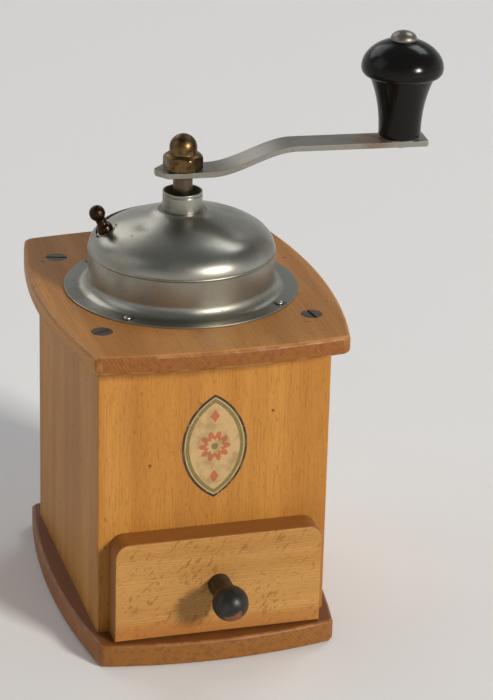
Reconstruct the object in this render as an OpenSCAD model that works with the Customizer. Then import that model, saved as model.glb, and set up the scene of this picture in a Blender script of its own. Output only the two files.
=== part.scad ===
// Wooden box mill with a nickelled hopper, a cranked spindle and a drawer.
// Millimetres. The origin is the centre of the underside, +Z is up and the drawer opens towards -Y.

/* [Box] */
// Width of the box across its two side walls
body_w = 96; // [84:1:116]
// Depth of the box from front to back
body_d = 112; // [98:1:135]
// Height of the four walls
wall_h = 118.5; // [112:0.5:145]
// Thickness of the walls
wall_t = 9.5; // [8:0.5:11]
// Height of the drawer opening above the base board
opening_h = 38; // [30:1:42]
// Gap between the drawer opening and the chute board
chute_gap = 2; // [1:0.5:4]
// Thickness of the chute board above the drawer
chute_t = 6; // [4:0.5:8]
// Radius of the hole in the chute board
chute_hole_r = 30; // [24:1:32]
// Depth of the grooves that hold the chute board
groove_d = 3; // [2:0.5:4]

/* [Boards] */
// Thickness of the base board
base_t = 10; // [8:0.5:14]
// Thickness of the top board
top_t = 8; // [7:0.5:12]
// How far the top board's corners stand out past the side walls
top_over_x = 3.7; // [2:0.1:8]
// How far the top board's corners stand out past the front and back
top_over_y = 11.6; // [10:0.1:14]
// Bow of the top board's left and right edges
top_bow_x = 8.6; // [4:0.1:11]
// Bow of the top board's front and back edges
top_bow_y = 4.1; // [2:0.1:6]
// How far the base board's corners stand out past the side walls
base_over_x = 1.2; // [0.5:0.1:6]
// How far the base board's corners stand out past the front and back
base_over_y = 11.4; // [11:0.1:14]
// Bow of the base board's left and right edges
base_bow_x = 6.5; // [3:0.1:9]
// Bow of the base board's front and back edges
base_bow_y = 5.6; // [3:0.1:7]
// Flat cut on the corners of both boards
corner_cut = 1.2; // [0.5:0.1:3]

/* [Screws] */
// Head diameter of the slotted wood screws
screw_head_d = 8.6; // [7:0.1:9]
// Shank diameter of the slotted wood screws
screw_shank_d = 4; // [3:0.1:4.5]
// Length of the slotted wood screws
screw_l = 30; // [20:1:36]
// Distance of the screws from the front and back of the box
screw_inset = 14; // [10:1:18]

/* [Hopper] */
// Radius of the hopper's flange
flange_r = 48.2; // [46:0.1:49]
// Radius of the hopper's band and of the dome's foot
dome_r = 38.3; // [36:0.1:39]
// Height of the band, from the top board to the seam
band_h = 17; // [13:0.5:22]
// Height of the dome's rounded shoulder
shoulder_h = 8.3; // [6:0.1:10]
// Rise of the dome's cone from its foot to its axis
cone_h = 10.4; // [6:0.1:12]
// Exponent of the shoulder's curve
shoulder_n = 7; // [5:1:9]
// Thickness of the hopper's sheet metal
sheet_t = 0.8; // [0.6:0.1:1]
// Radius of the fillet between band and flange
flare_r = 4.6; // [3:0.1:5]
// Radius of the nail circle in the flange
nail_r = 44.8; // [44:0.1:46]
// Angles of the flange nails, seen from above
nail_angles = [45, 133, 227, 318];
// Outer radius of the collar on top of the dome
collar_r = 8.15; // [7.5:0.05:9]
// Height of the collar above the dome
collar_h = 8; // [6:0.5:10]
// Radius of the raised seat around the collar
seat_r = 10.6; // [10:0.1:12]

/* [Hatch] */
// Angle at which the hatch knob stands when the hatch is shut
hatch_angle = 177; // [170:1:184]
// Distance of the hatch knob from the spindle
hatch_knob_r = 31.2; // [30:0.1:31.5]
// Lean of the hatch knob away from the spindle
hatch_tilt = 25; // [18:1:28]
// Angle that the fill window takes up
window_span = 83; // [60:1:85]
// Inner radius of the fill window
window_r = 14; // [13:0.5:18]
// Radius of the ball on the hatch knob
hatch_ball_r = 3.3; // [2.5:0.1:3.6]

/* [Grinder] */
// Radius of the spindle
spindle_r = 4; // [3.5:0.1:4]
// Radial clearance of the spindle in its bearings
run_fit = 0.06; // [0.02:0.01:0.1]
// Radius of the grinder housing's throat
throat_r = 27.2; // [26:0.1:28]
// Radius of the housing's flange
housing_flange_r = 36; // [35:0.5:37]
// Height of the housing below the top board
housing_h = 38.5; // [36:0.5:42]
// Height of the burrs, the toothed lower part of the cone
burr_h = 10; // [8:0.5:12]
// Largest radius of the cone burr
burr_r = 19; // [17:0.5:20]
// Gap between the burrs when set coarse
burr_gap = 0.8; // [0.7:0.05:1.2]
// Number of teeth on the cone burr
cone_teeth = 14; // [10:1:18]
// Number of grooves in the ring burr
ring_teeth = 20; // [16:1:24]
// Radius of the adjusting wheel
wheel_r = 13; // [11:0.5:14]
// Turns of the spindle spring
spring_turns = 5; // [4:1:6]
// Wire diameter of the spindle spring
spring_wire = 1.4; // [1:0.1:1.6]

/* [Crank] */
// Angle at which the crank rests, seen from above
crank_angle = -4.75; // [-30:0.25:30]
// Length of the crank from the spindle to the grip's pin
crank_l = 89.6; // [75:0.1:105]
// Width of the crank strip
crank_w = 13.3; // [12:0.1:16]
// Thickness of the crank strip
crank_t = 2.3; // [2:0.1:3]
// Height of the crank's underside above the dome's collar
crank_lift = 7; // [4:0.5:10]
// Rise of the crank in its bend
crank_rise = 9.6; // [6:0.1:14]
// Start of the bend, from the spindle
bend_start = 10.5; // [10:0.5:14]
// End of the bend, from the spindle
bend_end = 45.7; // [38:0.5:52]
// Width across the flats of the acorn nut
nut_af = 14.7; // [13:0.1:15]
// Height of the acorn nut's hexagon
nut_hex_h = 6.5; // [5:0.1:8]
// Radius of the acorn nut's dome
nut_dome_r = 5.65; // [5:0.05:6.5]
// Radius of the grip's cap
grip_cap_r = 16.8; // [15:0.1:19]
// Height of the grip's cap
grip_cap_h = 15; // [12:0.1:18]
// Height of the grip's stem
grip_stem_h = 25.9; // [20:0.1:32]
// Radius of the grip's stem at its foot
grip_stem_r = 8.7; // [7.5:0.1:10]
// Exponent of the flare of the grip's stem
grip_flare = 2.3; // [1.6:0.1:3]
// Radius of the pin that the grip turns on
pin_r = 3; // [2.5:0.1:3.5]

/* [Drawer] */
// How far the drawer front laps over the wall at each side of its opening
front_lap = 4.7; // [2:0.1:7]
// How far the drawer front laps over the wall above its opening
front_rise = 6; // [3:0.5:10]
// Thickness of the drawer front
front_t = 11; // [8:0.5:11.5]
// Radius of the drawer front's upper corners
front_corner_r = 6; // [3:0.5:10]
// Gap at each side of the drawer box
drawer_gap = 0.6; // [0.4:0.1:1.5]
// Thickness of the drawer's sides and back
drawer_side_t = 6; // [4:0.5:8]
// Thickness of the drawer's bottom
drawer_bottom_t = 3; // [2:0.5:4]
// Radius of the drawer knob's ball
knob_ball_r = 7.3; // [6:0.1:9]
// Distance of the ball's centre from the drawer front
knob_reach = 17; // [14:0.5:22]
// Radius of the drawer knob's neck
knob_neck_r = 4.7; // [4:0.1:5.5]

/* [Label] */
// Width of the label on the front wall
label_w = 27; // [20:1:34]
// Height of the label on the front wall
label_h = 45; // [34:1:50]
// Height of the label's centre above the base board
label_z = 78.7; // [70:0.1:84]

/* [Hidden] */
$fn = 72;
big = 200;
fit = 0.1;
hole_fit = 0.05;
screw_sink = 0.3;
seat_gap = 0.3;

// Heights of the box
walls_z = base_t + wall_h;
top_z = walls_z + top_t;
opening_z = base_t + opening_h;
chute_z = opening_z + chute_gap;
inner_w = body_w - 2 * wall_t;
inner_d = body_d - 2 * wall_t;
screw_x = body_w / 2 - wall_t / 2;
screw_y = body_d / 2 - screw_inset;
countersink_h = (screw_head_d - screw_shank_d) / 2;
head_rim_h = 0.4;
slot_w = 1.1;
slot_d = 1.3;

// Heights and radii of the hopper
seam_z = top_z + band_h;
dome_z = seam_z + shoulder_h + cone_h * (1 - seat_r / dome_r);
seat_h = 0.6;
seat_z = dome_z + seat_h;
collar_top_z = seat_z + collar_h;
collar_wall = 0.6;
collar_floor = 3;
bush_r = 6;
bush_flange_r = 8.5;
bush_flange_t = 1.2;
hatch_gap = 0.4;
leaf_top_z = seat_z - sheet_t - hatch_gap;
leaf_low_z = leaf_top_z - sheet_t;
leaf_hub_r = seat_r - sheet_t - 0.3;
bush_low_z = leaf_low_z - seat_gap - bush_flange_t;
lap_h = 1.4;
lap_inset = 0.9;
bead = 0.35;
bead_h = 1.2;
nail_head_r = 1.65;
nail_head_h = 1.1;
nail_shank_r = 0.8;
nail_l = 7;

// Places of the fill window and its hatch
hatch_collar_r = 3.3;
hatch_collar_h = 2.4;
hatch_neck_r = 1.7;
hatch_washer_r = 3.8;
hatch_washer_t = 0.5;
hatch_stud_r = 1.2;
hatch_ball_z = 9.4;
scallop_r = 4.3;
window_out_r = hatch_knob_r + 4;
leaf_out_r = window_out_r + 0.5;
hatch_margin = 10;
window_end = hatch_angle - 4;
window_start = window_end - window_span;
leaf_start = window_start - 4;
leaf_end = hatch_angle + hatch_margin;

// Heights and radii of the grinder
housing_flange_t = 4;
housing_low_z = walls_z - housing_h;
throat_top_z = top_z - 2.5;
throat_hole_r = throat_r + 0.3;
throat_chamfer = 4;
funnel_r = 22;
feed_r = 17;
housing_r = burr_r + 6;
cone_low_z = housing_low_z + 2;
cone_top_z = cone_low_z + burr_h + 12;
feed_low_r = burr_r - 4;
feed_top_r = 8;
ring_low_r = burr_r + burr_gap;
pivot_r = 3;
pad_h = 3;
pad_w = 10;
stirrup_t = 3;
stirrup_w = 14;
strap_z = housing_low_z - pad_h - stirrup_t;
wheel_room = 14.4;
stirrup_leg_x = wheel_r + 2;
stirrup_low_z = strap_z - wheel_room - stirrup_t;
wheel_gap = 0.3;
wheel_t = 6;
wheel_hub_r = 7;
wheel_notches = 28;
stem_r = 4;
stem_flats = 6.4;
stem_top_z = strap_z + stirrup_t + 3;
stem_cup = 4;
stem_low_z = stirrup_low_z - 4;
spindle_low_z = stem_top_z - stem_cup;
bridge_t = 2.5;
bridge_w = 10;
bridge_l = 2 * throat_r - 1;
bridge_z = throat_top_z - bridge_t;
rivet_y = (funnel_r + throat_r) / 2;
rivet_r = 1.2;
washer_t = 1;
washer_r = 7.8;
spring_r = 6.3;
spring_low_z = cone_top_z + washer_t + spring_wire / 2 + 0.1;
spring_top_z = bridge_z - spring_wire / 2 - 0.1;
pin_hole_z = cone_top_z - 6;
cone_pin_r = 1.5;
housing_screw_r = 31.8;
housing_screw_angles = [30, 150, 270];
stirrup_screw_x = housing_r - 2.6;
stirrup_screw_r = 1.2;
stirrup_screw_head_r = 2.3;
stirrup_screw_head_h = 1.8;
machine_head_r = 3.3;
machine_head_h = 2.2;
machine_shank_r = 1.75;

// Heights of the crank and its grip
crank_z = collar_top_z + crank_lift;
crank_end = crank_l + 10.9;
hub_end = 11.6;
end_clip_x = 4.4;
end_clip_y = 5.2;
flats = 6.4;
arm_out_z = crank_z + crank_rise;
grip_z = arm_out_z + crank_t + 0.8;
grip_washer_t = 0.5;
grip_cap_z = grip_z + grip_stem_h;
grip_top_z = grip_cap_z + grip_cap_h;
nut_z = crank_z + crank_t;
nut_dome_z = nut_z + nut_hex_h + 2.45;
spindle_top_z = nut_z + nut_hex_h + 4;
pin_head_r = 5.4;
pin_head_h = 3.1;
pin_peen_r = 4.4;
pin_peen_h = 1.3;

// Places of the drawer
face_y = -body_d / 2;
drawer_y = face_y - seat_gap;
drawer_low_z = base_t + seat_gap;
drawer_top_z = opening_z - 1;
drawer_w = inner_w - 2 * drawer_gap;
drawer_back_y = body_d / 2 - wall_t - 2.5;
drawer_inner_w = drawer_w - 2 * drawer_side_t;
front_low_z = base_t + 0.8;
front_w = inner_w + 2 * front_lap;
front_h = opening_z + front_rise - front_low_z;
tongue_t = 6;
bottom_z = drawer_low_z + 1.7;
bottom_groove = 2;
knob_z = front_low_z + front_h / 2;
knob_screw_r = 1.75;
knob_screw_head_r = 3.4;
pin_side_r = 0.7;
pin_side_l = 14;
pin_heights = [base_t + 10, base_t + 28];
label_t = 0.15;

// Radius of an arc from its chord and its sagitta
function arc_r(chord, sag) = (chord * chord / 4 + sag * sag) / (2 * sag);

// Height of a shell that lies inside the dome's outer surface by the offset k
function dome_h(r, k) = seam_z + (shoulder_h - k) * sqrt(max(0, 1 - pow(r / (dome_r - k), shoulder_n)))
                        + cone_h * (1 - r / dome_r);

// Points of that shell from one radius out to another, closest together at the shoulder
function dome_points(r0, r1, k, n) =
    [for (i = [0:n]) let (r = r0 + (r1 - r0) * sin(90 * i / n)) [r, dome_h(r, k)]];
function reversed(v) = [for (i = [len(v) - 1:-1:0]) v[i]];

// Smooth step from 0 to 1, used for the crank's bend
function smooth(u) = u <= 0 ? 0 : u >= 1 ? 1 : u * u * (3 - 2 * u);
function crank_height(s) = crank_rise * smooth((s - bend_start) / (bend_end - bend_start));

// Points on an arc in the plane
function arc_points(cx, cy, r, a0, a1, n) =
    [for (i = [0:n]) let (a = a0 + (a1 - a0) * i / n) [cx + r * cos(a), cy + r * sin(a)]];

module bowed_outline(w, d, bow_x, bow_y) {
    rx = arc_r(d, bow_x);
    ry = arc_r(w, bow_y);
    cut = (w + d) / 2 - corner_cut;
    intersection() {
        translate([w / 2 + bow_x - rx, 0]) circle(r = rx, $fn = 720);
        translate([rx - w / 2 - bow_x, 0]) circle(r = rx, $fn = 720);
        translate([0, d / 2 + bow_y - ry]) circle(r = ry, $fn = 720);
        translate([0, ry - d / 2 - bow_y]) circle(r = ry, $fn = 720);
        polygon([[-cut, 0], [0, -cut], [cut, 0], [0, cut]]);
    }
}

module at_corners() {
    for (x = [-screw_x, screw_x], y = [-screw_y, screw_y]) translate([x, y, 0]) children();
}

// A countersunk wood screw, its head's face at the origin and its point below
module wood_screw(turn) {
    shank_r = screw_shank_d / 2;
    rotate([0, 0, turn]) difference() {
        rotate_extrude() polygon([
            [0, 0], [screw_head_d / 2, 0], [screw_head_d / 2, -head_rim_h],
            [shank_r, -head_rim_h - countersink_h], [shank_r, -screw_l * 0.45],
            [shank_r * 0.8, -screw_l * 0.5], [shank_r * 0.8, -screw_l + 4], [0, -screw_l]
        ]);
        translate([-big / 2, -slot_w / 2, -slot_d]) cube([big, slot_w, big]);
    }
}

// The hole that a wood screw needs, a little larger all round
module screw_hole() {
    shank_r = screw_shank_d / 2 + fit;
    head_r = screw_head_d / 2 + fit;
    rotate_extrude() polygon([
        [0, 1], [head_r, 1], [head_r, -head_rim_h - fit], [shank_r, -head_rim_h - countersink_h - fit],
        [shank_r, -screw_l - 1], [0, -screw_l - 1]
    ]);
}

module base_board() {
    color("sienna") difference() {
        linear_extrude(base_t)
            bowed_outline(body_w + 2 * base_over_x, body_d + 2 * base_over_y, base_bow_x, base_bow_y);
        at_corners() mirror([0, 0, 1]) translate([0, 0, -screw_sink]) screw_hole();
    }
}

// A wall's plan, mitred at both ends, for a wall that faces +X at a distance from the centre
module mitred_wall(reach, half_length) {
    translate([0, 0, base_t]) linear_extrude(wall_h) polygon([
        [reach, -half_length], [reach, half_length],
        [reach - wall_t, half_length - wall_t], [reach - wall_t, wall_t - half_length]
    ]);
}

module side_wall() {
    difference() {
        mitred_wall(body_w / 2, body_d / 2);
        translate([inner_w / 2 - 1, -inner_d / 2, chute_z]) cube([groove_d + 1, inner_d, chute_t]);
        at_corners() translate([0, 0, top_z]) screw_hole();
        at_corners() mirror([0, 0, 1]) screw_hole();
    }
}

module right_wall() { color("goldenrod") side_wall(); }

module left_wall() { color("goldenrod") mirror([1, 0, 0]) side_wall(); }

module front_wall() {
    color("goldenrod") difference() {
        rotate([0, 0, -90]) mitred_wall(body_d / 2, body_w / 2);
        translate([-inner_w / 2, -body_d, base_t - 1]) cube([inner_w, body_d, opening_h + 1]);
    }
}

module back_wall() {
    color("goldenrod") rotate([0, 0, 90]) mitred_wall(body_d / 2, body_w / 2);
}

module top_board() {
    color("peru") difference() {
        translate([0, 0, walls_z]) linear_extrude(top_t)
            bowed_outline(body_w + 2 * top_over_x, body_d + 2 * top_over_y, top_bow_x, top_bow_y);
        translate([0, 0, walls_z - 1]) cylinder(r = throat_hole_r, h = top_t + 2);
        translate([0, 0, top_z - throat_chamfer])
            cylinder(r1 = throat_hole_r, r2 = throat_hole_r + throat_chamfer + 1, h = throat_chamfer + 1);
        at_corners() translate([0, 0, top_z]) screw_hole();
        for (a = nail_angles) rotate([0, 0, a])
            translate([nail_r, 0, top_z - nail_l])
                cylinder(r = nail_shank_r + hole_fit, h = nail_l + 1, $fn = 24);
        for (a = housing_screw_angles) rotate([0, 0, a]) translate([housing_screw_r, 0, walls_z - 1])
            cylinder(r = machine_shank_r + hole_fit, h = 6.5, $fn = 24);
    }
}

module chute_board() {
    color("burlywood") difference() {
        translate([-inner_w / 2 - groove_d, -inner_d / 2, chute_z])
            cube([inner_w + 2 * groove_d, inner_d, chute_t]);
        translate([0, 0, chute_z - 1]) cylinder(r = chute_hole_r, h = chute_t + 2);
    }
}

module top_board_screws() {
    turns = [25, 100, 165, 60];
    color("dimgray") for (i = [0:3])
        translate([i % 2 == 0 ? -screw_x : screw_x, i < 2 ? -screw_y : screw_y, top_z]) wood_screw(turns[i]);
}

module base_board_screws() {
    turns = [80, 15, 130, 45];
    color("dimgray") for (i = [0:3])
        translate([i % 2 == 0 ? -screw_x : screw_x, i < 2 ? -screw_y : screw_y, screw_sink])
            mirror([0, 0, 1]) wood_screw(turns[i]);
}

module front_label() {
    r = arc_r(label_h, label_w / 2);
    color("black") translate([0, face_y, base_t + label_z]) rotate([90, 0, 0]) linear_extrude(label_t)
        intersection() {
            translate([label_w / 2 - r, 0]) circle(r = r, $fn = 180);
            translate([r - label_w / 2, 0]) circle(r = r, $fn = 180);
        }
}

module hopper_skirt() {
    flare_x = dome_r + flare_r;
    flare_z = top_z + sheet_t + flare_r;
    lap_r = dome_r - sheet_t - lap_inset;
    color("silver") difference() {
        rotate_extrude($fn = 144) polygon(concat(
            [[flange_r, top_z], [flange_r, top_z + sheet_t]],
            arc_points(flare_x, flare_z, flare_r, 270, 180, 8),
            [[dome_r, seam_z - bead_h], [dome_r + bead, seam_z - bead_h * 0.6],
             [dome_r + bead, seam_z - bead_h * 0.3], [dome_r, seam_z], [lap_r, seam_z],
             [lap_r, seam_z + lap_h], [lap_r - sheet_t, seam_z + lap_h],
             [lap_r - sheet_t, seam_z - sheet_t], [dome_r - sheet_t, seam_z - sheet_t]],
            arc_points(flare_x, flare_z, flare_r + sheet_t, 180, 270, 8)
        ));
        for (a = nail_angles) rotate([0, 0, a])
            translate([nail_r, 0, top_z - 1]) cylinder(r = nail_shank_r + hole_fit, h = 4, $fn = 24);
    }
}

// A vertical prism over a sector of a ring
module sector(r0, r1, a0, a1, z0, h) {
    steps = ceil((a1 - a0) / 6);
    translate([0, 0, z0]) linear_extrude(h) polygon(concat(
        arc_points(0, 0, r1 / cos((a1 - a0) / steps / 2), a0, a1, steps),
        r0 > 0 ? arc_points(0, 0, r0, a1, a0, steps) : [[0, 0]]
    ));
}

// Puts its children on the hatch leaf at the knob, upright along the knob's own axis
module at_hatch_knob() {
    z = dome_h(hatch_knob_r, sheet_t + hatch_gap);
    rotate([0, 0, hatch_angle]) translate([hatch_knob_r, 0, z]) rotate([0, hatch_tilt, 0]) children();
}

module hopper_dome() {
    out_n = 18;
    difference() {
        color("silver") rotate_extrude($fn = 144) polygon(concat(
            [[bush_r + fit, seat_z], [seat_r - 0.4, seat_z], [seat_r, seat_z - 0.4]],
            dome_points(seat_r, dome_r, 0, out_n),
            [[dome_r - sheet_t, seam_z]],
            reversed(dome_points(seat_r, dome_r - sheet_t, sheet_t, out_n)),
            [[seat_r - sheet_t, seat_z - sheet_t], [bush_r + fit, seat_z - sheet_t]]
        ));
        intersection() {
            rotate_extrude() translate([window_r, seam_z - 1]) square([window_out_r - window_r, big]);
            sector(0, dome_r + 5, window_start, window_end, seam_z - 1, big);
        }
        at_hatch_knob() translate([0, 0, -3]) cylinder(r = scallop_r, h = 10);
    }
}

module flange_nails() {
    color("gainsboro") for (a = nail_angles) rotate([0, 0, a]) translate([nail_r, 0, top_z + sheet_t]) {
        translate([0, 0, -nail_l + sheet_t]) cylinder(r = nail_shank_r, h = nail_l - sheet_t + 0.4, $fn = 24);
        rotate_extrude($fn = 32) polygon(concat(
            [[0, 0], [nail_head_r, 0]],
            [for (i = [1:5]) [nail_head_r * cos(18 * i), 0.2 + (nail_head_h - 0.2) * sin(18 * i)]]
        ));
    }
}

module dome_collar() {
    color("silver") rotate_extrude() polygon([
        [bush_r + fit, seat_z], [collar_r, seat_z], [collar_r, collar_top_z - 1.6],
        [collar_r - 0.2, collar_top_z - 1.4], [collar_r - 0.2, collar_top_z - 1.1],
        [collar_r, collar_top_z - 0.9], [collar_r, collar_top_z - 0.2],
        [collar_r - 0.2, collar_top_z], [collar_r - collar_wall, collar_top_z],
        [collar_r - collar_wall, seat_z + collar_floor], [bush_r + fit, seat_z + collar_floor]
    ]);
}

module bearing_bush() {
    color("peru") rotate_extrude() polygon([
        [spindle_r + run_fit, bush_low_z], [bush_flange_r, bush_low_z],
        [bush_flange_r, bush_low_z + bush_flange_t],
        [bush_r, bush_low_z + bush_flange_t], [bush_r, seat_z + collar_floor + 0.8],
        [spindle_r + run_fit, seat_z + collar_floor + 0.8]
    ]);
}

module hatch_leaf() {
    k = sheet_t + hatch_gap;
    color("silver") difference() {
        union() {
            intersection() {
                rotate_extrude($fn = 144) polygon(concat(
                    [[bush_r, leaf_top_z], [leaf_hub_r, leaf_top_z]],
                    dome_points(seat_r, leaf_out_r, k, 14),
                    reversed(dome_points(seat_r, leaf_out_r, k + sheet_t, 14)),
                    [[leaf_hub_r - sheet_t, leaf_low_z], [bush_r, leaf_low_z]]
                ));
                sector(0, dome_r + 5, leaf_start, leaf_end, seam_z, big);
            }
            translate([0, 0, leaf_low_z]) cylinder(r = leaf_hub_r, h = sheet_t);
        }
        translate([0, 0, seam_z]) cylinder(r = bush_r + run_fit, h = big);
        at_hatch_knob() translate([0, 0, -3]) cylinder(r = hatch_stud_r + hole_fit, h = 6, $fn = 24);
    }
}

module hatch_washer() {
    color("lightgray") at_hatch_knob() translate([0, 0, hatch_gap]) difference() {
        cylinder(r = hatch_washer_r, h = hatch_washer_t, $fn = 36);
        translate([0, 0, -1]) cylinder(r = hatch_stud_r + hole_fit, h = 3, $fn = 24);
    }
}

module hatch_knob() {
    foot = hatch_gap + hatch_washer_t;
    color("saddlebrown") at_hatch_knob() {
        translate([0, 0, -3.4]) cylinder(r = hatch_stud_r, h = foot + 3.6, $fn = 24);
        translate([0, 0, foot]) rotate_extrude($fn = 40) polygon([
            [0, 0], [hatch_collar_r - 0.3, 0], [hatch_collar_r, 0.4],
            [hatch_collar_r, hatch_collar_h - 0.7], [hatch_collar_r - 0.7, hatch_collar_h],
            [hatch_neck_r + 0.3, hatch_collar_h + 0.3], [hatch_neck_r, hatch_collar_h + 0.9],
            [hatch_neck_r, hatch_ball_z - hatch_ball_r], [0, hatch_ball_z - hatch_ball_r]
        ]);
        translate([0, 0, hatch_ball_z]) sphere(r = hatch_ball_r, $fn = 40);
    }
}

module hatch_nut() {
    color("gray") at_hatch_knob() translate([0, 0, -sheet_t - 2.2]) difference() {
        cylinder(r = 2.6, h = 1.8, $fn = 6);
        translate([0, 0, -1]) cylinder(r = hatch_stud_r + hole_fit, h = 4, $fn = 24);
    }
}

module burr_housing() {
    color("darkslategray") difference() {
        union() {
            translate([0, 0, walls_z - 1]) cylinder(r = throat_r, h = throat_top_z - walls_z + 1);
            translate([0, 0, walls_z - housing_flange_t])
                cylinder(r = housing_flange_r, h = housing_flange_t);
            translate([0, 0, housing_low_z]) cylinder(r = housing_r, h = housing_h - 1);
            for (a = [0, 180]) rotate([0, 0, a]) intersection() {
                translate([burr_r + 1.8, -pad_w / 2, housing_low_z - pad_h])
                    cube([housing_r, pad_w, pad_h + 1]);
                translate([0, 0, housing_low_z - pad_h]) cylinder(r = housing_r, h = pad_h + 1);
            }
        }
        rotate_extrude() polygon([
            [0, throat_top_z + 1], [funnel_r, throat_top_z + 1], [funnel_r, bridge_z - 1],
            [feed_r, bridge_z - 12], [feed_low_r + burr_gap + 0.3, cone_low_z + burr_h],
            [ring_low_r, cone_low_z], [ring_low_r + 0.8, housing_low_z - 4], [0, housing_low_z - 4]
        ]);
        for (i = [0:ring_teeth - 1]) rotate([0, 0, (i + 0.5) * 360 / ring_teeth])
            translate([ring_low_r - 0.4, 0, cone_low_z - 3]) rotate([14, -20, 0])
                cube([3, 1.3, burr_h + 1.5]);
        for (a = [90, 270]) rotate([0, 0, a])
            translate([funnel_r - 3, -bridge_w / 2 - fit, bridge_z]) cube([20, bridge_w + 2 * fit, 20]);
        for (a = [90, 270]) rotate([0, 0, a])
            translate([rivet_y, 0, bridge_z - 4]) cylinder(r = rivet_r + hole_fit, h = 10, $fn = 24);
        for (a = housing_screw_angles) rotate([0, 0, a]) translate([housing_screw_r, 0, walls_z - 10])
            cylinder(r = machine_shank_r + hole_fit, h = 20, $fn = 24);
        for (a = [0, 180]) rotate([0, 0, a]) translate([stirrup_screw_x, 0, housing_low_z - pad_h - 1])
            cylinder(r = stirrup_screw_r + hole_fit, h = 8, $fn = 24);
    }
}

module housing_screws() {
    color("gray") for (a = housing_screw_angles)
        rotate([0, 0, a]) translate([housing_screw_r, 0, walls_z - housing_flange_t]) difference() {
            union() {
                translate([0, 0, -machine_head_h]) cylinder(r = machine_head_r, h = machine_head_h, $fn = 32);
                translate([0, 0, -0.5]) cylinder(r = machine_shank_r, h = housing_flange_t + 5.4, $fn = 24);
            }
            translate([-5, -0.5, -machine_head_h - 1]) cube([10, 1, 2]);
        }
}

module upper_bridge() {
    color("gray") difference() {
        union() {
            intersection() {
                translate([-bridge_w / 2, -bridge_l / 2, bridge_z]) cube([bridge_w, bridge_l, bridge_t]);
                translate([0, 0, bridge_z - 1]) cylinder(r = throat_r - 0.2, h = 8);
            }
            translate([0, 0, bridge_z]) cylinder(r = 9, h = bridge_t);
        }
        translate([0, 0, bridge_z - 1]) cylinder(r = spindle_r + run_fit, h = 8);
        for (y = [-rivet_y, rivet_y]) translate([0, y, bridge_z - 1])
            cylinder(r = rivet_r + hole_fit, h = 8, $fn = 24);
    }
}

module bridge_rivets() {
    color("gray") for (y = [-rivet_y, rivet_y]) translate([0, y, 0]) {
        translate([0, 0, bridge_z - 3.8]) cylinder(r = rivet_r, h = bridge_t + 4, $fn = 24);
        translate([0, 0, bridge_z + bridge_t]) rotate_extrude($fn = 24)
            polygon([[0, 0], [2.1, 0], [2, 0.5], [1.4, 1], [0, 1.2]]);
    }
}

// Point of the spring's centre line at an angle counted from its lower end
function coil_point(a) = let (u = a / (360 * spring_turns))
    [spring_r * cos(a), spring_r * sin(a), spring_low_z + (spring_top_z - spring_low_z) * u];
function coil_ring(a, n) = let (c = coil_point(a), w = spring_wire / 2) [for (i = [0:n - 1])
    let (b = 360 * i / n) [c[0] + w * cos(b) * cos(a), c[1] + w * cos(b) * sin(a), c[2] + w * sin(b)]];

module spindle_spring() {
    sides = 6;
    rings = spring_turns * 8;
    points = [for (j = [0:rings]) each coil_ring(j * 45, sides)];
    skin = [for (j = [0:rings - 1], i = [0:sides - 1])
        let (a = j * sides + i, b = j * sides + (i + 1) % sides)
        each [[a, a + sides, b], [b, a + sides, b + sides]]];
    last = rings * sides;
    caps = [for (i = [1:sides - 2]) each [[0, i, i + 1], [last, last + i + 1, last + i]]];
    color("silver") polyhedron(points = points, faces = concat(skin, caps));
}
echo(spring_gap_to_itself = (spring_top_z - spring_low_z) / spring_turns - spring_wire);

module spring_washer() {
    color("silver") translate([0, 0, cone_top_z]) difference() {
        cylinder(r = washer_r, h = washer_t);
        translate([0, 0, -1]) cylinder(r = spindle_r + fit, h = washer_t + 2);
    }
}

module cone_burr() {
    color("slategray") difference() {
        rotate_extrude() polygon([
            [0, cone_low_z], [burr_r, cone_low_z], [feed_low_r, cone_low_z + burr_h],
            [feed_top_r, cone_top_z], [0, cone_top_z]
        ]);
        translate([0, 0, cone_low_z - 1]) cylinder(r = spindle_r + fit, h = big);
        translate([0, 0, cone_low_z - 1]) cylinder(r = 8, h = 4);
        for (i = [0:cone_teeth - 1]) rotate([0, 0, i * 360 / cone_teeth])
            translate([burr_r - 1.1, 0, cone_low_z - 2]) rotate([-14, -22, 0]) cube([4, 1.3, burr_h + 2.4]);
        for (i = [0:3]) rotate([0, 0, i * 90 + 20])
            translate([feed_low_r - 5.4, 0, cone_low_z + burr_h - 0.5])
                rotate([-24, -24, 0]) cube([8, 3.6, 18]);
        translate([-big / 2, 0, pin_hole_z]) rotate([0, 90, 0])
            cylinder(r = cone_pin_r + hole_fit, h = big, $fn = 24);
    }
}

module cone_pin() {
    slope = (feed_low_r - feed_top_r) / (cone_top_z - cone_low_z - burr_h);
    r_here = feed_top_r + slope * (cone_top_z - pin_hole_z);
    color("silver") translate([-r_here + 1.2, 0, pin_hole_z]) rotate([0, 90, 0])
        cylinder(r = cone_pin_r, h = 2 * r_here - 2.4, $fn = 24);
}

module spindle() {
    color("darkkhaki") difference() {
        union() {
            translate([0, 0, spindle_low_z + 0.02]) cylinder(r = pivot_r, h = 10);
            translate([0, 0, cone_low_z - 0.5]) cylinder(r = spindle_r, h = crank_z - cone_low_z + 0.5);
            intersection() {
                translate([0, 0, crank_z - 1]) cylinder(r = spindle_r, h = spindle_top_z - crank_z + 1);
                translate([-flats / 2, -10, crank_z - 1]) cube([flats, 20, big]);
            }
        }
        translate([-big / 2, 0, pin_hole_z]) rotate([0, 90, 0])
            cylinder(r = cone_pin_r + hole_fit, h = big, $fn = 24);
    }
}

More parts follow.
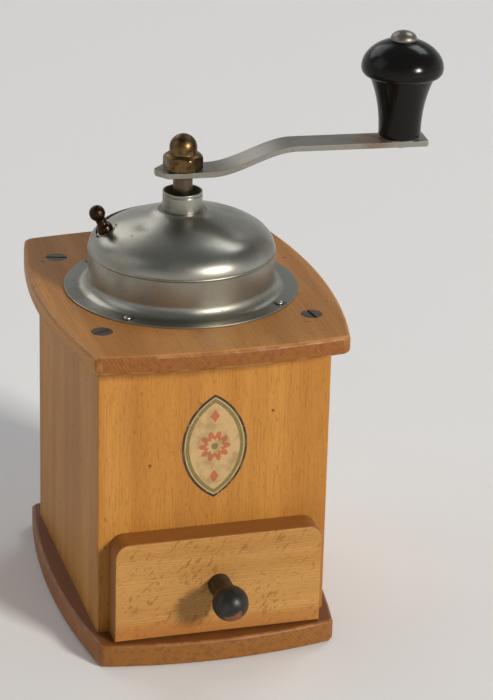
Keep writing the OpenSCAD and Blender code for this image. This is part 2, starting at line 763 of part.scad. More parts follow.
module lower_stirrup() {
    leg_x = stirrup_leg_x;
    color("gray") difference() {
        union() {
            translate([-housing_r + 0.5, -stirrup_w / 2, strap_z])
                cube([2 * housing_r - 1, stirrup_w, stirrup_t]);
            translate([-leg_x - stirrup_t, -stirrup_w / 2, stirrup_low_z])
                cube([2 * leg_x + 2 * stirrup_t, stirrup_w, stirrup_t + wheel_room + 1]);
        }
        translate([-leg_x, -big / 2, stirrup_low_z + stirrup_t]) cube([2 * leg_x, big, wheel_room]);
        translate([0, 0, strap_z - 1]) cylinder(r = stem_r + run_fit, h = 10);
        intersection() {
            translate([0, 0, stirrup_low_z - 1]) cylinder(r = stem_r + run_fit, h = 10);
            translate([-stem_flats / 2 - run_fit, -10, 0]) cube([stem_flats + 2 * run_fit, 20, big]);
        }
        for (x = [-stirrup_screw_x, stirrup_screw_x]) translate([x, 0, strap_z - 1])
            cylinder(r = stirrup_screw_r + fit, h = 8, $fn = 24);
    }
}

module stirrup_screws() {
    color("silver") for (x = [-stirrup_screw_x, stirrup_screw_x]) translate([x, 0, strap_z]) difference() {
        union() {
            translate([0, 0, -stirrup_screw_head_h])
                cylinder(r = stirrup_screw_head_r, h = stirrup_screw_head_h, $fn = 32);
            translate([0, 0, -0.5]) cylinder(r = stirrup_screw_r, h = stirrup_t + 7, $fn = 24);
        }
        translate([-5, -0.4, -stirrup_screw_head_h - 1]) cube([10, 0.8, 1.8]);
    }
}

module adjusting_wheel() {
    low = stirrup_low_z + stirrup_t + wheel_gap;
    h = wheel_room - 2 * wheel_gap;
    color("peru") difference() {
        union() {
            translate([0, 0, low]) cylinder(r = wheel_hub_r, h = h);
            translate([0, 0, low + (h - wheel_t) / 2]) cylinder(r = wheel_r, h = wheel_t);
        }
        translate([0, 0, low - 1]) cylinder(r = stem_r + run_fit, h = h + 2);
        for (i = [0:wheel_notches - 1]) rotate([0, 0, i * 360 / wheel_notches])
            translate([wheel_r, 0, low]) rotate([0, 0, 45]) cube([1, 1, 2 * h], center = true);
    }
}

module adjusting_stem() {
    color("silver") difference() {
        union() {
            translate([0, 0, stirrup_low_z + stirrup_t + 0.2])
                cylinder(r = stem_r, h = stem_top_z - stirrup_low_z - stirrup_t - 0.2);
            intersection() {
                translate([0, 0, stem_low_z]) cylinder(r = stem_r, h = stem_top_z - stem_low_z - 6);
                translate([-stem_flats / 2, -10, 0]) cube([stem_flats, 20, big]);
            }
        }
        translate([0, 0, stem_top_z - stem_cup]) cylinder(r = pivot_r + hole_fit, h = big);
    }
}

module crank_arm() {
    steps = 16;
    bend = [for (i = [0:steps]) bend_start + (bend_end - bend_start) * i / steps];
    path = concat([-hub_end], bend, [crank_end]);
    low = [for (s = path) [s, crank_height(s)]];
    high = [for (s = reversed(path)) [s, crank_height(s) + crank_t]];
    half = crank_w / 2;
    color("lightgray") rotate([0, 0, crank_angle]) translate([0, 0, crank_z]) difference() {
        intersection() {
            translate([0, half, 0]) rotate([90, 0, 0]) linear_extrude(crank_w) polygon(concat(low, high));
            linear_extrude(40) polygon([
                [-hub_end, -half + end_clip_y], [-hub_end + end_clip_x, -half],
                [crank_end - 1, -half], [crank_end, -half + 1], [crank_end, half - 1], [crank_end - 1, half],
                [-hub_end + end_clip_x, half], [-hub_end, half - end_clip_y]
            ]);
        }
        intersection() {
            translate([0, 0, -1]) cylinder(r = spindle_r + hole_fit, h = 10);
            rotate([0, 0, -crank_angle]) translate([-flats / 2 - hole_fit, -10, -1])
                cube([flats + 2 * hole_fit, 20, 10]);
        }
        translate([crank_l, 0, 0]) cylinder(r = pin_r + hole_fit, h = 30);
    }
}

module crank_nut() {
    color("darkgoldenrod") rotate([0, 0, 36.6]) difference() {
        union() {
            intersection() {
                translate([0, 0, nut_z]) cylinder(r = nut_af / 2 / cos(30), h = nut_hex_h, $fn = 6);
                translate([0, 0, nut_z])
                    cylinder(r1 = nut_af / 2 + nut_hex_h + 0.2, r2 = nut_af / 2 + 0.2, h = nut_hex_h);
            }
            translate([0, 0, nut_z + 1]) cylinder(r = nut_dome_r, h = nut_dome_z - nut_z - 1);
            translate([0, 0, nut_dome_z]) sphere(r = nut_dome_r);
        }
        translate([0, 0, nut_z - 1]) cylinder(r = spindle_r + hole_fit, h = spindle_top_z - nut_z + 1.5);
    }
}

module at_grip() {
    rotate([0, 0, crank_angle]) translate([crank_l, 0, 0]) children();
}

module grip_pin() {
    cap_z = grip_top_z + seat_gap;
    color("rosybrown") at_grip() rotate_extrude() polygon(concat(
        [[0, arm_out_z - pin_peen_h], [pin_peen_r - 0.6, arm_out_z - pin_peen_h],
         [pin_peen_r, arm_out_z - 0.5], [pin_peen_r, arm_out_z], [pin_r, arm_out_z],
         [pin_r, cap_z], [pin_head_r, cap_z]],
        [for (i = [1:6]) [pin_head_r * cos(15 * i), cap_z + 0.4 + (pin_head_h - 0.4) * sin(15 * i)]]
    ));
}

module grip_washer() {
    color("gray") at_grip() translate([0, 0, arm_out_z + crank_t]) difference() {
        cylinder(r = 7.6, h = grip_washer_t);
        translate([0, 0, -1]) cylinder(r = pin_r + 0.1, h = 3);
    }
}

module crank_grip() {
    flare = grip_cap_r - 3.4 - grip_stem_r;
    stem = [for (i = [0:9]) let (u = i / 9)
        [grip_stem_r + flare * pow(u, grip_flare), grip_z + 1 + (grip_stem_h - 1.4) * u]];
    cap_low = grip_cap_z + 3;
    color("black") at_grip() difference() {
        rotate_extrude($fn = 96) polygon(concat(
            [[0, grip_z], [grip_stem_r - 0.9, grip_z], [grip_stem_r - 0.2, grip_z + 0.5]],
            stem,
            [[grip_cap_r - 2.4, grip_cap_z + 0.1], [grip_cap_r - 1.1, grip_cap_z + 0.5],
             [grip_cap_r - 0.3, grip_cap_z + 1.5]],
            [for (i = [0:11]) [grip_cap_r * cos(7.5 * i), cap_low + (grip_cap_h - 3) * sin(7.5 * i)]],
            [[0, grip_top_z]]
        ));
        translate([0, 0, grip_z - 1]) cylinder(r = pin_r + run_fit, h = big);
    }
}

module rounded_front(w, h, r) {
    translate([-w / 2, 0]) square([w, h - r]);
    translate([-w / 2 + r, 0]) square([w - 2 * r, h]);
    for (x = [-w / 2 + r, w / 2 - r]) translate([x, h - r]) circle(r = r);
}

module drawer_front() {
    color("khaki") difference() {
        union() {
            translate([0, drawer_y, front_low_z]) rotate([90, 0, 0]) linear_extrude(front_t)
                rounded_front(front_w, front_h, front_corner_r);
            translate([-drawer_inner_w / 2, drawer_y - 1, front_low_z])
                cube([drawer_inner_w, tongue_t + 1, drawer_top_z - front_low_z]);
        }
        translate([-drawer_w / 2, drawer_y, bottom_z]) cube([drawer_w, tongue_t + 1, drawer_bottom_t]);
        translate([0, drawer_y + tongue_t + 1, knob_z]) rotate([90, 0, 0])
            cylinder(r = knob_screw_r + hole_fit, h = front_t + tongue_t + 5, $fn = 32);
        for (s = [0, 1], z = pin_heights) mirror([s, 0, 0])
            translate([drawer_w / 2 - pin_side_l, drawer_y + tongue_t / 2, z]) rotate([0, 90, 0])
                cylinder(r = pin_side_r + hole_fit, h = pin_side_l, $fn = 24);
    }
}

module drawer_side() {
    color("tan") difference() {
        translate([drawer_w / 2 - drawer_side_t, drawer_y, drawer_low_z])
            cube([drawer_side_t, drawer_back_y - drawer_y, drawer_top_z - drawer_low_z]);
        translate([drawer_inner_w / 2 - 1, drawer_y - 1, bottom_z])
            cube([bottom_groove + 1, body_d, drawer_bottom_t]);
        for (y = [drawer_y + tongue_t / 2, drawer_back_y - drawer_side_t / 2], z = pin_heights)
            translate([drawer_w / 2 - pin_side_l, y, z]) rotate([0, 90, 0])
                cylinder(r = pin_side_r + hole_fit, h = pin_side_l + 1, $fn = 24);
    }
}

module drawer_right_side() { drawer_side(); }

module drawer_left_side() { mirror([1, 0, 0]) drawer_side(); }

module drawer_back() {
    color("tan") difference() {
        translate([-drawer_inner_w / 2, drawer_back_y - drawer_side_t, bottom_z + drawer_bottom_t])
            cube([drawer_inner_w, drawer_side_t, drawer_top_z - bottom_z - drawer_bottom_t]);
        for (s = [0, 1], z = pin_heights) mirror([s, 0, 0])
            translate([drawer_w / 2 - pin_side_l, drawer_back_y - drawer_side_t / 2, z]) rotate([0, 90, 0])
                cylinder(r = pin_side_r + hole_fit, h = pin_side_l, $fn = 24);
    }
}

module drawer_bottom() {
    w = drawer_inner_w + 2 * bottom_groove;
    color("wheat") translate([-w / 2, drawer_y, bottom_z])
        cube([w, drawer_back_y - drawer_y, drawer_bottom_t]);
}

module drawer_knob() {
    face = drawer_y - front_t;
    ball_z = knob_reach;
    join = asin(knob_neck_r / knob_ball_r);
    color("black") translate([0, face, knob_z]) rotate([90, 0, 0]) difference() {
        rotate_extrude($fn = 64) polygon(concat(
            [[0, 0], [knob_neck_r + 0.5, 0], [knob_neck_r + 0.4, 0.8], [knob_neck_r, 2.2],
             [knob_neck_r - 0.2, knob_reach / 2 - 1]],
            [for (i = [0:14]) let (a = join + (180 - join) * i / 14)
                [knob_ball_r * sin(a), ball_z - knob_ball_r * cos(a)]]
        ));
        translate([0, 0, -1]) cylinder(r = knob_screw_r + hole_fit, h = 14, $fn = 32);
    }
}

module drawer_knob_screw() {
    color("gray") translate([0, drawer_y + tongue_t, knob_z]) rotate([90, 0, 0]) difference() {
        union() {
            translate([0, 0, -1.6]) cylinder(r = knob_screw_head_r, h = 1.6, $fn = 32);
            translate([0, 0, -0.5]) cylinder(r = knob_screw_r, h = tongue_t + front_t + 12, $fn = 32);
        }
        translate([-5, -0.5, -2.6]) cube([10, 1, 1.8]);
    }
}

module drawer_pins() {
    rows = [drawer_y + tongue_t / 2, drawer_back_y - drawer_side_t / 2];
    color("gray") for (s = [0, 1], y = rows, z = pin_heights)
        mirror([s, 0, 0]) translate([drawer_w / 2 - pin_side_l + 0.5, y, z]) rotate([0, 90, 0])
            cylinder(r = pin_side_r, h = pin_side_l - 0.6, $fn = 24);
}

base_board();
left_wall();
right_wall();
front_wall();
back_wall();
top_board();
chute_board();
top_board_screws();
base_board_screws();
front_label();
hopper_skirt();
hopper_dome();
flange_nails();
dome_collar();
bearing_bush();
hatch_leaf();
hatch_washer();
hatch_knob();
hatch_nut();
burr_housing();
housing_screws();
upper_bridge();
bridge_rivets();
spindle_spring();
spring_washer();
cone_burr();
cone_pin();
spindle();
lower_stirrup();
stirrup_screws();
adjusting_wheel();
adjusting_stem();
crank_arm();
crank_nut();
grip_pin();
grip_washer();
crank_grip();
drawer_front();
drawer_left_side();
drawer_right_side();
drawer_back();
drawer_bottom();
drawer_knob();
drawer_knob_screw();
drawer_pins();
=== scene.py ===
# %% [markdown]
# # A wooden box mill
#
# The mill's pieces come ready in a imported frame: their real sizes, their places, and the bodies that move.
# This script gives them their looks. A piece whose plain shape is right keeps it and gets a finish. A
# piece that needs rounded arrises, pressed metal or turned wood is modelled again in the same place, and
# takes the plain piece's part in the picture. Everything is in metres, with the origin under the middle of
# the base board.

# %% Load the frame
import math

import bmesh
import bpy
from mathutils import Matrix, Vector


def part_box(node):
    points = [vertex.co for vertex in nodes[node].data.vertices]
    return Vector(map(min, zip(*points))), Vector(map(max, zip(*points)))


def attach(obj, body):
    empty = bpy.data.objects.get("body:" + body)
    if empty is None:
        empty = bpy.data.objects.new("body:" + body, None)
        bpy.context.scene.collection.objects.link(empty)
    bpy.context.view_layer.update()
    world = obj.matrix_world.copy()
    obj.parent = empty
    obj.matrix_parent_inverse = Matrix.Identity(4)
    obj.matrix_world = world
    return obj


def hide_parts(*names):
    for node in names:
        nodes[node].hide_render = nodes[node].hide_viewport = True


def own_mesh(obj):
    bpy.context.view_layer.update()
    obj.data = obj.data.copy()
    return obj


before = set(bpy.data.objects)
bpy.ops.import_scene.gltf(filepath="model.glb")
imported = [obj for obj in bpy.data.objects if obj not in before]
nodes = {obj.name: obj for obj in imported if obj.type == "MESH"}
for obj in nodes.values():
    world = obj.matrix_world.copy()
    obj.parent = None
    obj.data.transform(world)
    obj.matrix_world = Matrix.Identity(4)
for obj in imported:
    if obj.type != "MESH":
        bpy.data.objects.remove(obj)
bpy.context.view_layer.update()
MM = 0.001
print("pieces in the frame:", len(nodes))


def span(node, axis):
    """Lowest and highest millimetre of a plain piece along one axis."""
    low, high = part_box(node)
    return low[axis] / MM, high[axis] / MM


X, Y, Z = 0, 1, 2
BASE_TOP = span("base_board", Z)[1]
WALL_TOP = span("left_wall", Z)[1]
TOP = span("top_board", Z)[1]
HALF_W = span("right_wall", X)[1]
HALF_D = span("back_wall", Y)[1]
print("box in mm:", HALF_W * 2, HALF_D * 2, TOP)

# %% [markdown]
# ## The camera
#
# The picture is taken from a little above and to the left of the drawer's front, with a long lens, so the
# mill keeps nearly parallel edges. The camera could be set by eye, but then it would stand a little off.
# Here it stands where the outlines of the boards and the hopper say that it stood.
# Blender measures the lens on the picture's long side.

# %% Place the camera
PHOTO_W, PHOTO_H = 493, 700
AZIMUTH = math.radians(-16.15)
ELEVATION = math.radians(22.71)
ROLL = math.radians(1.4)
DISTANCE = 1.14878
AIM_RIGHT = 0.02228
AIM_HEIGHT = 0.10918
FOCAL_PIXELS = 2765.47
CENTRE_PIXEL = (233.73, 347.4)
SENSOR = 36.0

back = Vector((
    math.sin(AZIMUTH) * math.cos(ELEVATION), -math.cos(AZIMUTH) * math.cos(ELEVATION), math.sin(ELEVATION)
))
right = Vector((math.cos(AZIMUTH), math.sin(AZIMUTH), 0))
up = back.cross(right)
rolled_right = right * math.cos(ROLL) + up * math.sin(ROLL)
rolled_up = up * math.cos(ROLL) - right * math.sin(ROLL)
aim = right * AIM_RIGHT + Vector((0, 0, AIM_HEIGHT))

camera_data = bpy.data.cameras.new("camera")
camera_data.sensor_width = SENSOR
camera_data.lens = FOCAL_PIXELS / PHOTO_H * SENSOR
camera_data.shift_x = (PHOTO_W / 2 - CENTRE_PIXEL[0]) / PHOTO_H
camera_data.shift_y = (CENTRE_PIXEL[1] - PHOTO_H / 2) / PHOTO_H
camera_data.clip_start = 0.05
camera_data.clip_end = 50
camera = bpy.data.objects.new("camera", camera_data)
bpy.context.scene.collection.objects.link(camera)
turn = Matrix((rolled_right, rolled_up, back)).transposed().to_4x4()
camera.matrix_world = Matrix.Translation(aim + back * DISTANCE) @ turn
bpy.context.scene.camera = camera
bpy.context.scene.view_settings.view_transform = "Standard"
print("camera at", [round(v, 4) for v in camera.matrix_world.translation])

# %% [markdown]
# ## The studio
#
# Polished metal shows whatever stands round it, so a studio is built from large soft panels and a pale
# floor, not from a bright even sky. The main panel stands in front, to the right of the camera, as the
# shadow of the drawer's knob tells. A second one at the back right draws the light patch on the dome's
# shoulder, a faint one fills the left, and one behind lights the back. The surroundings are pale low down
# and dimmer overhead, which gives the metal its dark and light.

# %% Light the scene
FLOOR_HALF = 25.0
FLOOR_DROP = 0.0004
STUDIO = 5.0


def panel(name, azimuth, elevation, distance, size, power, colour):
    """A soft square lamp that looks at the mill. Moved away and grown alike, it looks the same from the mill."""
    lamp = bpy.data.lights.new(name, "AREA")
    lamp.shape = "RECTANGLE"
    lamp.size, lamp.size_y = size[0] * STUDIO, size[1] * STUDIO
    lamp.energy = power * STUDIO ** 2
    lamp.color = colour
    holder = bpy.data.objects.new(name, lamp)
    bpy.context.scene.collection.objects.link(holder)
    a, e = math.radians(azimuth), math.radians(elevation)
    away = Vector((math.sin(a) * math.cos(e), -math.cos(a) * math.cos(e), math.sin(e)))
    holder.location = Vector((0, 0, 0.11)) + away * distance * STUDIO
    holder.rotation_mode = "QUATERNION"
    holder.rotation_quaternion = away.to_track_quat("Z", "Y")
    return holder


panel("main_panel", 30, 24, 1.5, (0.26, 0.26), 20, (1.0, 0.965, 0.91))
panel("back_panel", 128, 48, 1.5, (0.6, 0.45), 3.2, (0.96, 0.98, 1.0))
panel("left_panel", -100, 34, 1.8, (1.1, 1.1), 2.6, (0.97, 0.98, 1.0))
panel("rear_panel", 200, 35, 1.8, (1.1, 0.9), 5.0, (1.0, 0.98, 0.96))

world = bpy.data.worlds.new("studio")
world.use_nodes = True
bpy.context.scene.world = world
sky = world.node_tree
sky.nodes.clear()
sky_out = sky.nodes.new("ShaderNodeOutputWorld")
sky_light = sky.nodes.new("ShaderNodeBackground")
sky_ramp = sky.nodes.new("ShaderNodeValToRGB")
sky_axes = sky.nodes.new("ShaderNodeSeparateXYZ")
sky_place = sky.nodes.new("ShaderNodeTexCoord")
sky_ramp.color_ramp.elements[0].position = 0.02
sky_ramp.color_ramp.elements[0].color = (0.62, 0.62, 0.62, 1)
sky_ramp.color_ramp.elements[1].position = 0.55
sky_ramp.color_ramp.elements[1].color = (0.165, 0.17, 0.18, 1)
sky_light.inputs["Strength"].default_value = 1.0
sky.links.new(sky_place.outputs["Generated"], sky_axes.inputs[0])
sky.links.new(sky_axes.outputs["Z"], sky_ramp.inputs[0])
sky.links.new(sky_ramp.outputs[0], sky_light.inputs[0])
sky.links.new(sky_light.outputs[0], sky_out.inputs[0])

# %% [markdown]
# ## Sums in a shader
#
# A finish on an old piece of wood or metal is a sum of many faint things: grain, flecks, stains, dull and
# bright places. Blender works such sums out with nodes. They could be drawn by hand, but a formula in
# Python is shorter and easier to read, so a small class wraps a node's socket and turns plus, minus and
# times into Math nodes.

# %% Wrap a socket
class Number:
    """A number that changes over a surface."""

    def __init__(self, finish, socket):
        self.finish = finish
        self.socket = socket

    def _sum(self, operation, first, second):
        return self.finish.node("ShaderNodeMath", {"operation": operation}, [first, second])

    def __add__(self, other):
        return self._sum("ADD", self, other)

    def __radd__(self, other):
        return self._sum("ADD", other, self)

    def __sub__(self, other):
        return self._sum("SUBTRACT", self, other)

    def __rsub__(self, other):
        return self._sum("SUBTRACT", other, self)

    def __mul__(self, other):
        return self._sum("MULTIPLY", self, other)



# %% Make finishes from nodes
MIX_FACTOR, MIX_FIRST, MIX_SECOND, MIX_RESULT = 0, 6, 7, 2


class Finish:
    """A material with one Principled shader, and the nodes that work out what changes over it."""

    def __init__(self, name, **constants):
        self.material = bpy.data.materials.new(name)
        self.material.use_nodes = True
        self.tree = self.material.node_tree
        self.tree.nodes.clear()
        self.shader = self.tree.nodes.new("ShaderNodeBsdfPrincipled")
        out = self.tree.nodes.new("ShaderNodeOutputMaterial")
        self.tree.links.new(self.shader.outputs[0], out.inputs[0])
        for socket, value in constants.items():
            self.plug(self.shader.inputs[socket.replace("_", " ")], value)
        place = self.node("ShaderNodeTexCoord", {}, [], "Object")
        self.place = self.node(
            "ShaderNodeVectorMath", {"operation": "SCALE"}, {"Vector": place, "Scale": 1 / MM}
        )

    def plug(self, socket, value):
        if isinstance(value, Number):
            self.tree.links.new(value.socket, socket)
        elif isinstance(value, tuple) and socket.type == "RGBA":
            socket.default_value = (*value, 1)
        else:
            socket.default_value = value

    def node(self, kind, settings, inputs, output=0):
        """Any node: its settings first, then the values or links of its sockets."""
        made = self.tree.nodes.new(kind)
        for key, value in settings.items():
            setattr(made, key, value)
        pairs = inputs.items() if isinstance(inputs, dict) else enumerate(inputs)
        for key, value in pairs:
            self.plug(made.inputs[key], value)
        return Number(self, made.outputs[output])

    def axes(self):
        """The place on the piece, in millimetres along X, Y and Z."""
        return [self.node("ShaderNodeSeparateXYZ", {}, [self.place], axis) for axis in "XYZ"]

    def vector(self, x, y, z):
        return self.node("ShaderNodeCombineXYZ", {}, [x, y, z])

    def noise(self, vector, stretch=(1, 1, 1), detail=2.0, distortion=0.0, shift=0.0):
        """Soft noise from 0 to 1. The stretch holds the number of waves in a millimetre along each axis."""
        moved = self.node(
            "ShaderNodeVectorMath", {"operation": "MULTIPLY_ADD"}, [vector, stretch, (shift, shift, shift)]
        )
        return self.node(
            "ShaderNodeTexNoise", {},
            {"Vector": moved, "Scale": 1.0, "Detail": detail, "Distortion": distortion},
        )

    def ease(self, value, low, high):
        """0 below the low value, 1 above the high one, smooth between. The low one may be the larger."""
        return self.node(
            "ShaderNodeMapRange", {"interpolation_type": "SMOOTHSTEP"},
            {"Value": value, "From Min": low, "From Max": high},
        )

    def mix(self, first, second, amount, how="MIX"):
        return self.node(
            "ShaderNodeMix", {"data_type": "RGBA", "blend_type": how},
            {MIX_FACTOR: amount, MIX_FIRST: first, MIX_SECOND: second}, MIX_RESULT,
        )

    def function(self, operation, *values):
        return self.node("ShaderNodeMath", {"operation": operation}, list(values))

    def painted(self, name):
        """A number that the mesh carries at its vertices."""
        return self.node("ShaderNodeAttribute", {"attribute_name": name}, [], "Fac")

    def spot(self, at, size, soft=0.5):
        """1 within a small round spot and 0 outside it."""
        away = self.node("ShaderNodeVectorMath", {"operation": "DISTANCE"}, [self.place, at], "Value")
        return self.ease(away, size * (1 + soft), size * (1 - soft))

    def bump(self, height, depth):
        """Raises the surface by the height times the depth, in millimetres."""
        raised = self.node("ShaderNodeBump", {}, {"Strength": 1.0, "Distance": depth * MM, "Height": height})
        self.plug(self.shader.inputs["Normal"], raised)

    def colour(self, value):
        self.plug(self.shader.inputs["Base Color"], value)

    def roughness(self, value):
        self.plug(self.shader.inputs["Roughness"], value)


# %% Lay the floor
floor_mesh = bpy.data.meshes.new("floor")
floor_mesh.from_pydata(
    [(x * FLOOR_HALF, y * FLOOR_HALF, -FLOOR_DROP) for x, y in ((-1, -1), (1, -1), (1, 1), (-1, 1))],
    [], [(0, 1, 2, 3)],
)
floor = bpy.data.objects.new("floor", floor_mesh)
bpy.context.scene.collection.objects.link(floor)
floor_finish = Finish("floor_paper", Base_Color=(0.86, 0.855, 0.845), Roughness=0.9, Specular_IOR_Level=0.0)
floor_mesh.materials.append(floor_finish.material)

# %% [markdown]
# ## The woods
#
# The box is old varnished beech. Beech has an even, fine grain with many short dark flecks that run along
# it. On a board's ends the grain drinks the varnish and turns red-brown, with close lines from the year
# rings. A picture of wood could be wrapped on, but it would slide or stretch over rounded edges. Noise
# that is stretched along the grain works in depth, so it runs through the piece and also meets correctly
# at every edge.

# %% Varnished beech
ALONG = {"x": (0, 1, 2), "y": (1, 2, 0), "z": (2, 0, 1)}


def beech(name, pale, mid, dark, along, shift, flecks=0.5, lines=0.0, polish=0.44, coat=0.10):
    """Beech with its grain along one axis. Returns the finish and what its later touches need."""
    wood = Finish(name, Coat_Roughness=0.3, Coat_Weight=coat, Specular_IOR_Level=0.3)
    xyz = wood.axes()
    grain = wood.vector(*[xyz[i] for i in ALONG[along]])
    bands = wood.noise(grain, (0.005, 0.10, 0.10), 1.0, 0.0, shift)
    cloud = wood.noise(grain, (0.010, 0.05, 0.05), 1.0, 0.0, shift + 9)
    fibre = wood.noise(grain, (0.05, 1.5, 1.5), 3.0, 0.0, shift + 3)
    fleck = wood.ease(wood.noise(grain, (0.34, 2.6, 2.6), 0.0, 0.0, shift + 5), 0.64, 0.76)
    pore = wood.ease(wood.noise(grain, (0.9, 5.5, 5.5), 0.0, 0.0, shift + 7), 0.66, 0.76)
    dirt = wood.ease(wood.noise(wood.place, (0.21, 0.21, 0.21), 1.0, 0.0, shift + 11), 0.70, 0.80)
    tone = wood.mix(mid, pale, wood.ease(bands, 0.35, 0.68))
    tone = wood.mix(tone, dark, wood.ease(cloud, 0.45, 0.80) * 0.34)
    tone = wood.mix(tone, dark, wood.ease(fibre, 0.40, 0.75) * 0.34)
    tone = wood.mix(tone, dark, fleck * flecks)
    tone = wood.mix(tone, dark, pore * flecks * 0.7)
    if lines:
        across = xyz[2] + wood.noise(grain, (0.03, 0.2, 0.2), 1.0, 0.0, shift + 13) * 3.0
        wave = wood.function("SINE", across * (2 * math.pi / 0.95))
        tone = wood.mix(tone, dark, wood.ease(wave, 0.1, 1.0) * lines)
    tone = wood.mix(tone, tuple(c * 0.35 for c in dark), dirt * 0.35)
    wood.colour(tone)
    wood.roughness(polish + fibre * 0.16 - fleck * 0.05)
    wood.bump(fibre * 0.5 - fleck * 0.8 - pore * 0.5, 0.05)
    wood.tone, wood.xyz, wood.fibre, wood.fleck = tone, xyz, fibre, fleck
    return wood


def end_grain(wood, axis, colour, lines, shift):
    """Darkens the faces that cut the grain, and lays the year rings' close slanted lines on them."""
    facing = wood.node("ShaderNodeNewGeometry", {}, [], "Normal")
    across = wood.node("ShaderNodeSeparateXYZ", {}, [facing], axis)
    ends = wood.ease(wood.function("ABSOLUTE", across), 0.55, 0.85)
    x, y, z = wood.xyz
    slant = x * 0.75 + z * 0.62 + wood.noise(wood.place, (0.05, 0.05, 0.05), 1.0, 0.0, shift) * 6.0
    wave = wood.function("SINE", slant * (2 * math.pi / 1.1))
    mottle = wood.noise(wood.place, (0.5, 0.5, 0.5), 3.0, 0.0, shift + 4)
    cut = wood.mix(colour, lines, wood.ease(wave, -0.3, 1.0) * 0.40)
    cut = wood.mix(cut, lines, wood.ease(mottle, 0.42, 0.72) * 0.6)
    wood.tone = wood.mix(wood.tone, cut, ends)
    wood.colour(wood.tone)
    return ends


def rubbed_edges(wood, colour, amount, shift):
    """Lets the bare pale wood show on the arrises, in patches, where hands rub the varnish off."""
    patch = wood.ease(wood.noise(wood.place, (0.16, 0.16, 0.16), 3.0, 0.0, shift), 0.42, 0.66)
    rub = wood.ease(wood.painted("arris"), 0.35, 1.0) * patch * amount
    wood.tone = wood.mix(wood.tone, colour, rub)
    wood.colour(wood.tone)


# %% The box's own woods
wall_wood = beech(
    "wall_beech", (0.50, 0.225, 0.038), (0.43, 0.178, 0.025), (0.26, 0.088, 0.011), "z", 0.0, 0.45
)
WALL_SPOTS = ((24.0, -HALF_D, 102.0), (-26.6, -HALF_D, 82.7))
for place in WALL_SPOTS:
    wall_wood.tone = wall_wood.mix(wall_wood.tone, (0.10, 0.03, 0.008), wall_wood.spot(place, 0.65) * 0.85)
wall_wood.colour(wall_wood.tone)
rubbed_edges(wall_wood, (0.34, 0.13, 0.024), 0.6, 41)

top_wood = beech("top_beech", (0.50, 0.230, 0.058), (0.40, 0.165, 0.034), (0.25, 0.082, 0.015), "y", 20.0, 0.5)
end_grain(top_wood, 1, (0.27, 0.092, 0.011), (0.15, 0.042, 0.006), 25)
rubbed_edges(top_wood, (0.50, 0.25, 0.09), 0.45, 27)
KNOTS = (((-50.0, 38.0, TOP), 0.9, (0.16, 0.045, 0.01)), ((-47.0, 42.5, TOP), 1.6, (0.28, 0.10, 0.03)))
for place, size, tint in KNOTS:
    top_wood.tone = top_wood.mix(top_wood.tone, tint, top_wood.spot(place, size, 0.7) * 0.8)
top_wood.colour(top_wood.tone)

base_wood = beech("base_beech", (0.33, 0.125, 0.026), (0.26, 0.09, 0.018), (0.15, 0.043, 0.009), "y", 50.0, 0.5)
end_grain(base_wood, 1, (0.27, 0.105, 0.016), (0.15, 0.050, 0.008), 55)
upward = base_wood.node("ShaderNodeNewGeometry", {}, [], "Normal")
upward = base_wood.ease(base_wood.node("ShaderNodeSeparateXYZ", {}, [upward], "Z"), 0.6, 0.95)
base_wood.tone = base_wood.mix(base_wood.tone, (0.15, 0.050, 0.011), upward * 0.7)
rubbed_edges(base_wood, (0.36, 0.15, 0.04), 0.6, 57)

face_wood = beech(
    "drawer_beech", (0.53, 0.29, 0.080), (0.44, 0.215, 0.046), (0.30, 0.115, 0.020), "x", 80.0, 0.6, 0.38
)
print("woods: walls, top, base, drawer front")

# %% [markdown]
# The drawer's face is the palest piece. Two things are added to it: broad darker flakes, where the saw cut
# along the wood's rays, and an orange tint on the rounded edge and low down, where varnish has gathered.

# %% Touches on the drawer's face
FACE_LOW, FACE_HIGH = span("drawer_front", Z)
x, y, z = face_wood.xyz
flake_space = face_wood.vector(x * 0.64 + z * 0.77, y, z * 0.64 - x * 0.77)
flake = face_wood.noise(flake_space, (0.34, 0.9, 0.95), 1.0, 0.0, 91)
flake_area = face_wood.noise(face_wood.place, (0.06, 0.06, 0.06), 1.0, 0.0, 93)
flake = face_wood.ease(flake, 0.575, 0.665) * face_wood.ease(flake_area, 0.36, 0.56)
face_wood.tone = face_wood.mix(face_wood.tone, (0.24, 0.085, 0.014), flake * 0.62)
gathered = face_wood.ease(z, FACE_LOW + 10, FACE_LOW + 4) * 0.62
facing = face_wood.node("ShaderNodeNewGeometry", {}, [], "Normal")
facing = face_wood.function("ABSOLUTE", face_wood.node("ShaderNodeSeparateXYZ", {}, [facing], "Y"))
edge = face_wood.ease(facing, 0.97, 0.75)
face_wood.tone = face_wood.mix(face_wood.tone, (0.34, 0.105, 0.012), gathered)
face_wood.tone = face_wood.mix(face_wood.tone, (0.25, 0.085, 0.012), edge * 0.88)
face_wood.colour(face_wood.tone)

# %% Bare wood inside
bare_wood = beech(
    "bare_beech", (0.62, 0.43, 0.25), (0.54, 0.36, 0.19), (0.36, 0.22, 0.10), "y", 120.0, 0.4, 0.0, 0.7, 0.0
)
coffee = bare_wood.noise(bare_wood.place, (0.09, 0.09, 0.09), 3.0, 0.0, 131)
bare_wood.tone = bare_wood.mix(bare_wood.tone, (0.16, 0.085, 0.035), bare_wood.ease(coffee, 0.48, 0.75) * 0.55)
bare_wood.colour(bare_wood.tone)

# %% [markdown]
# ## The metals
#
# The hopper is nickelled sheet, the crank plain polished steel and the grinder grey iron. On all of them
# age shows as clouds of duller metal, small dark specks and fine scratches that cross each other. Real
# scratches could be cut into the mesh, but they are thinner than a tenth of a millimetre. Noise that is
# stretched very long, in two slanted directions, gives the same look, and it changes the gloss as well as
# the colour.

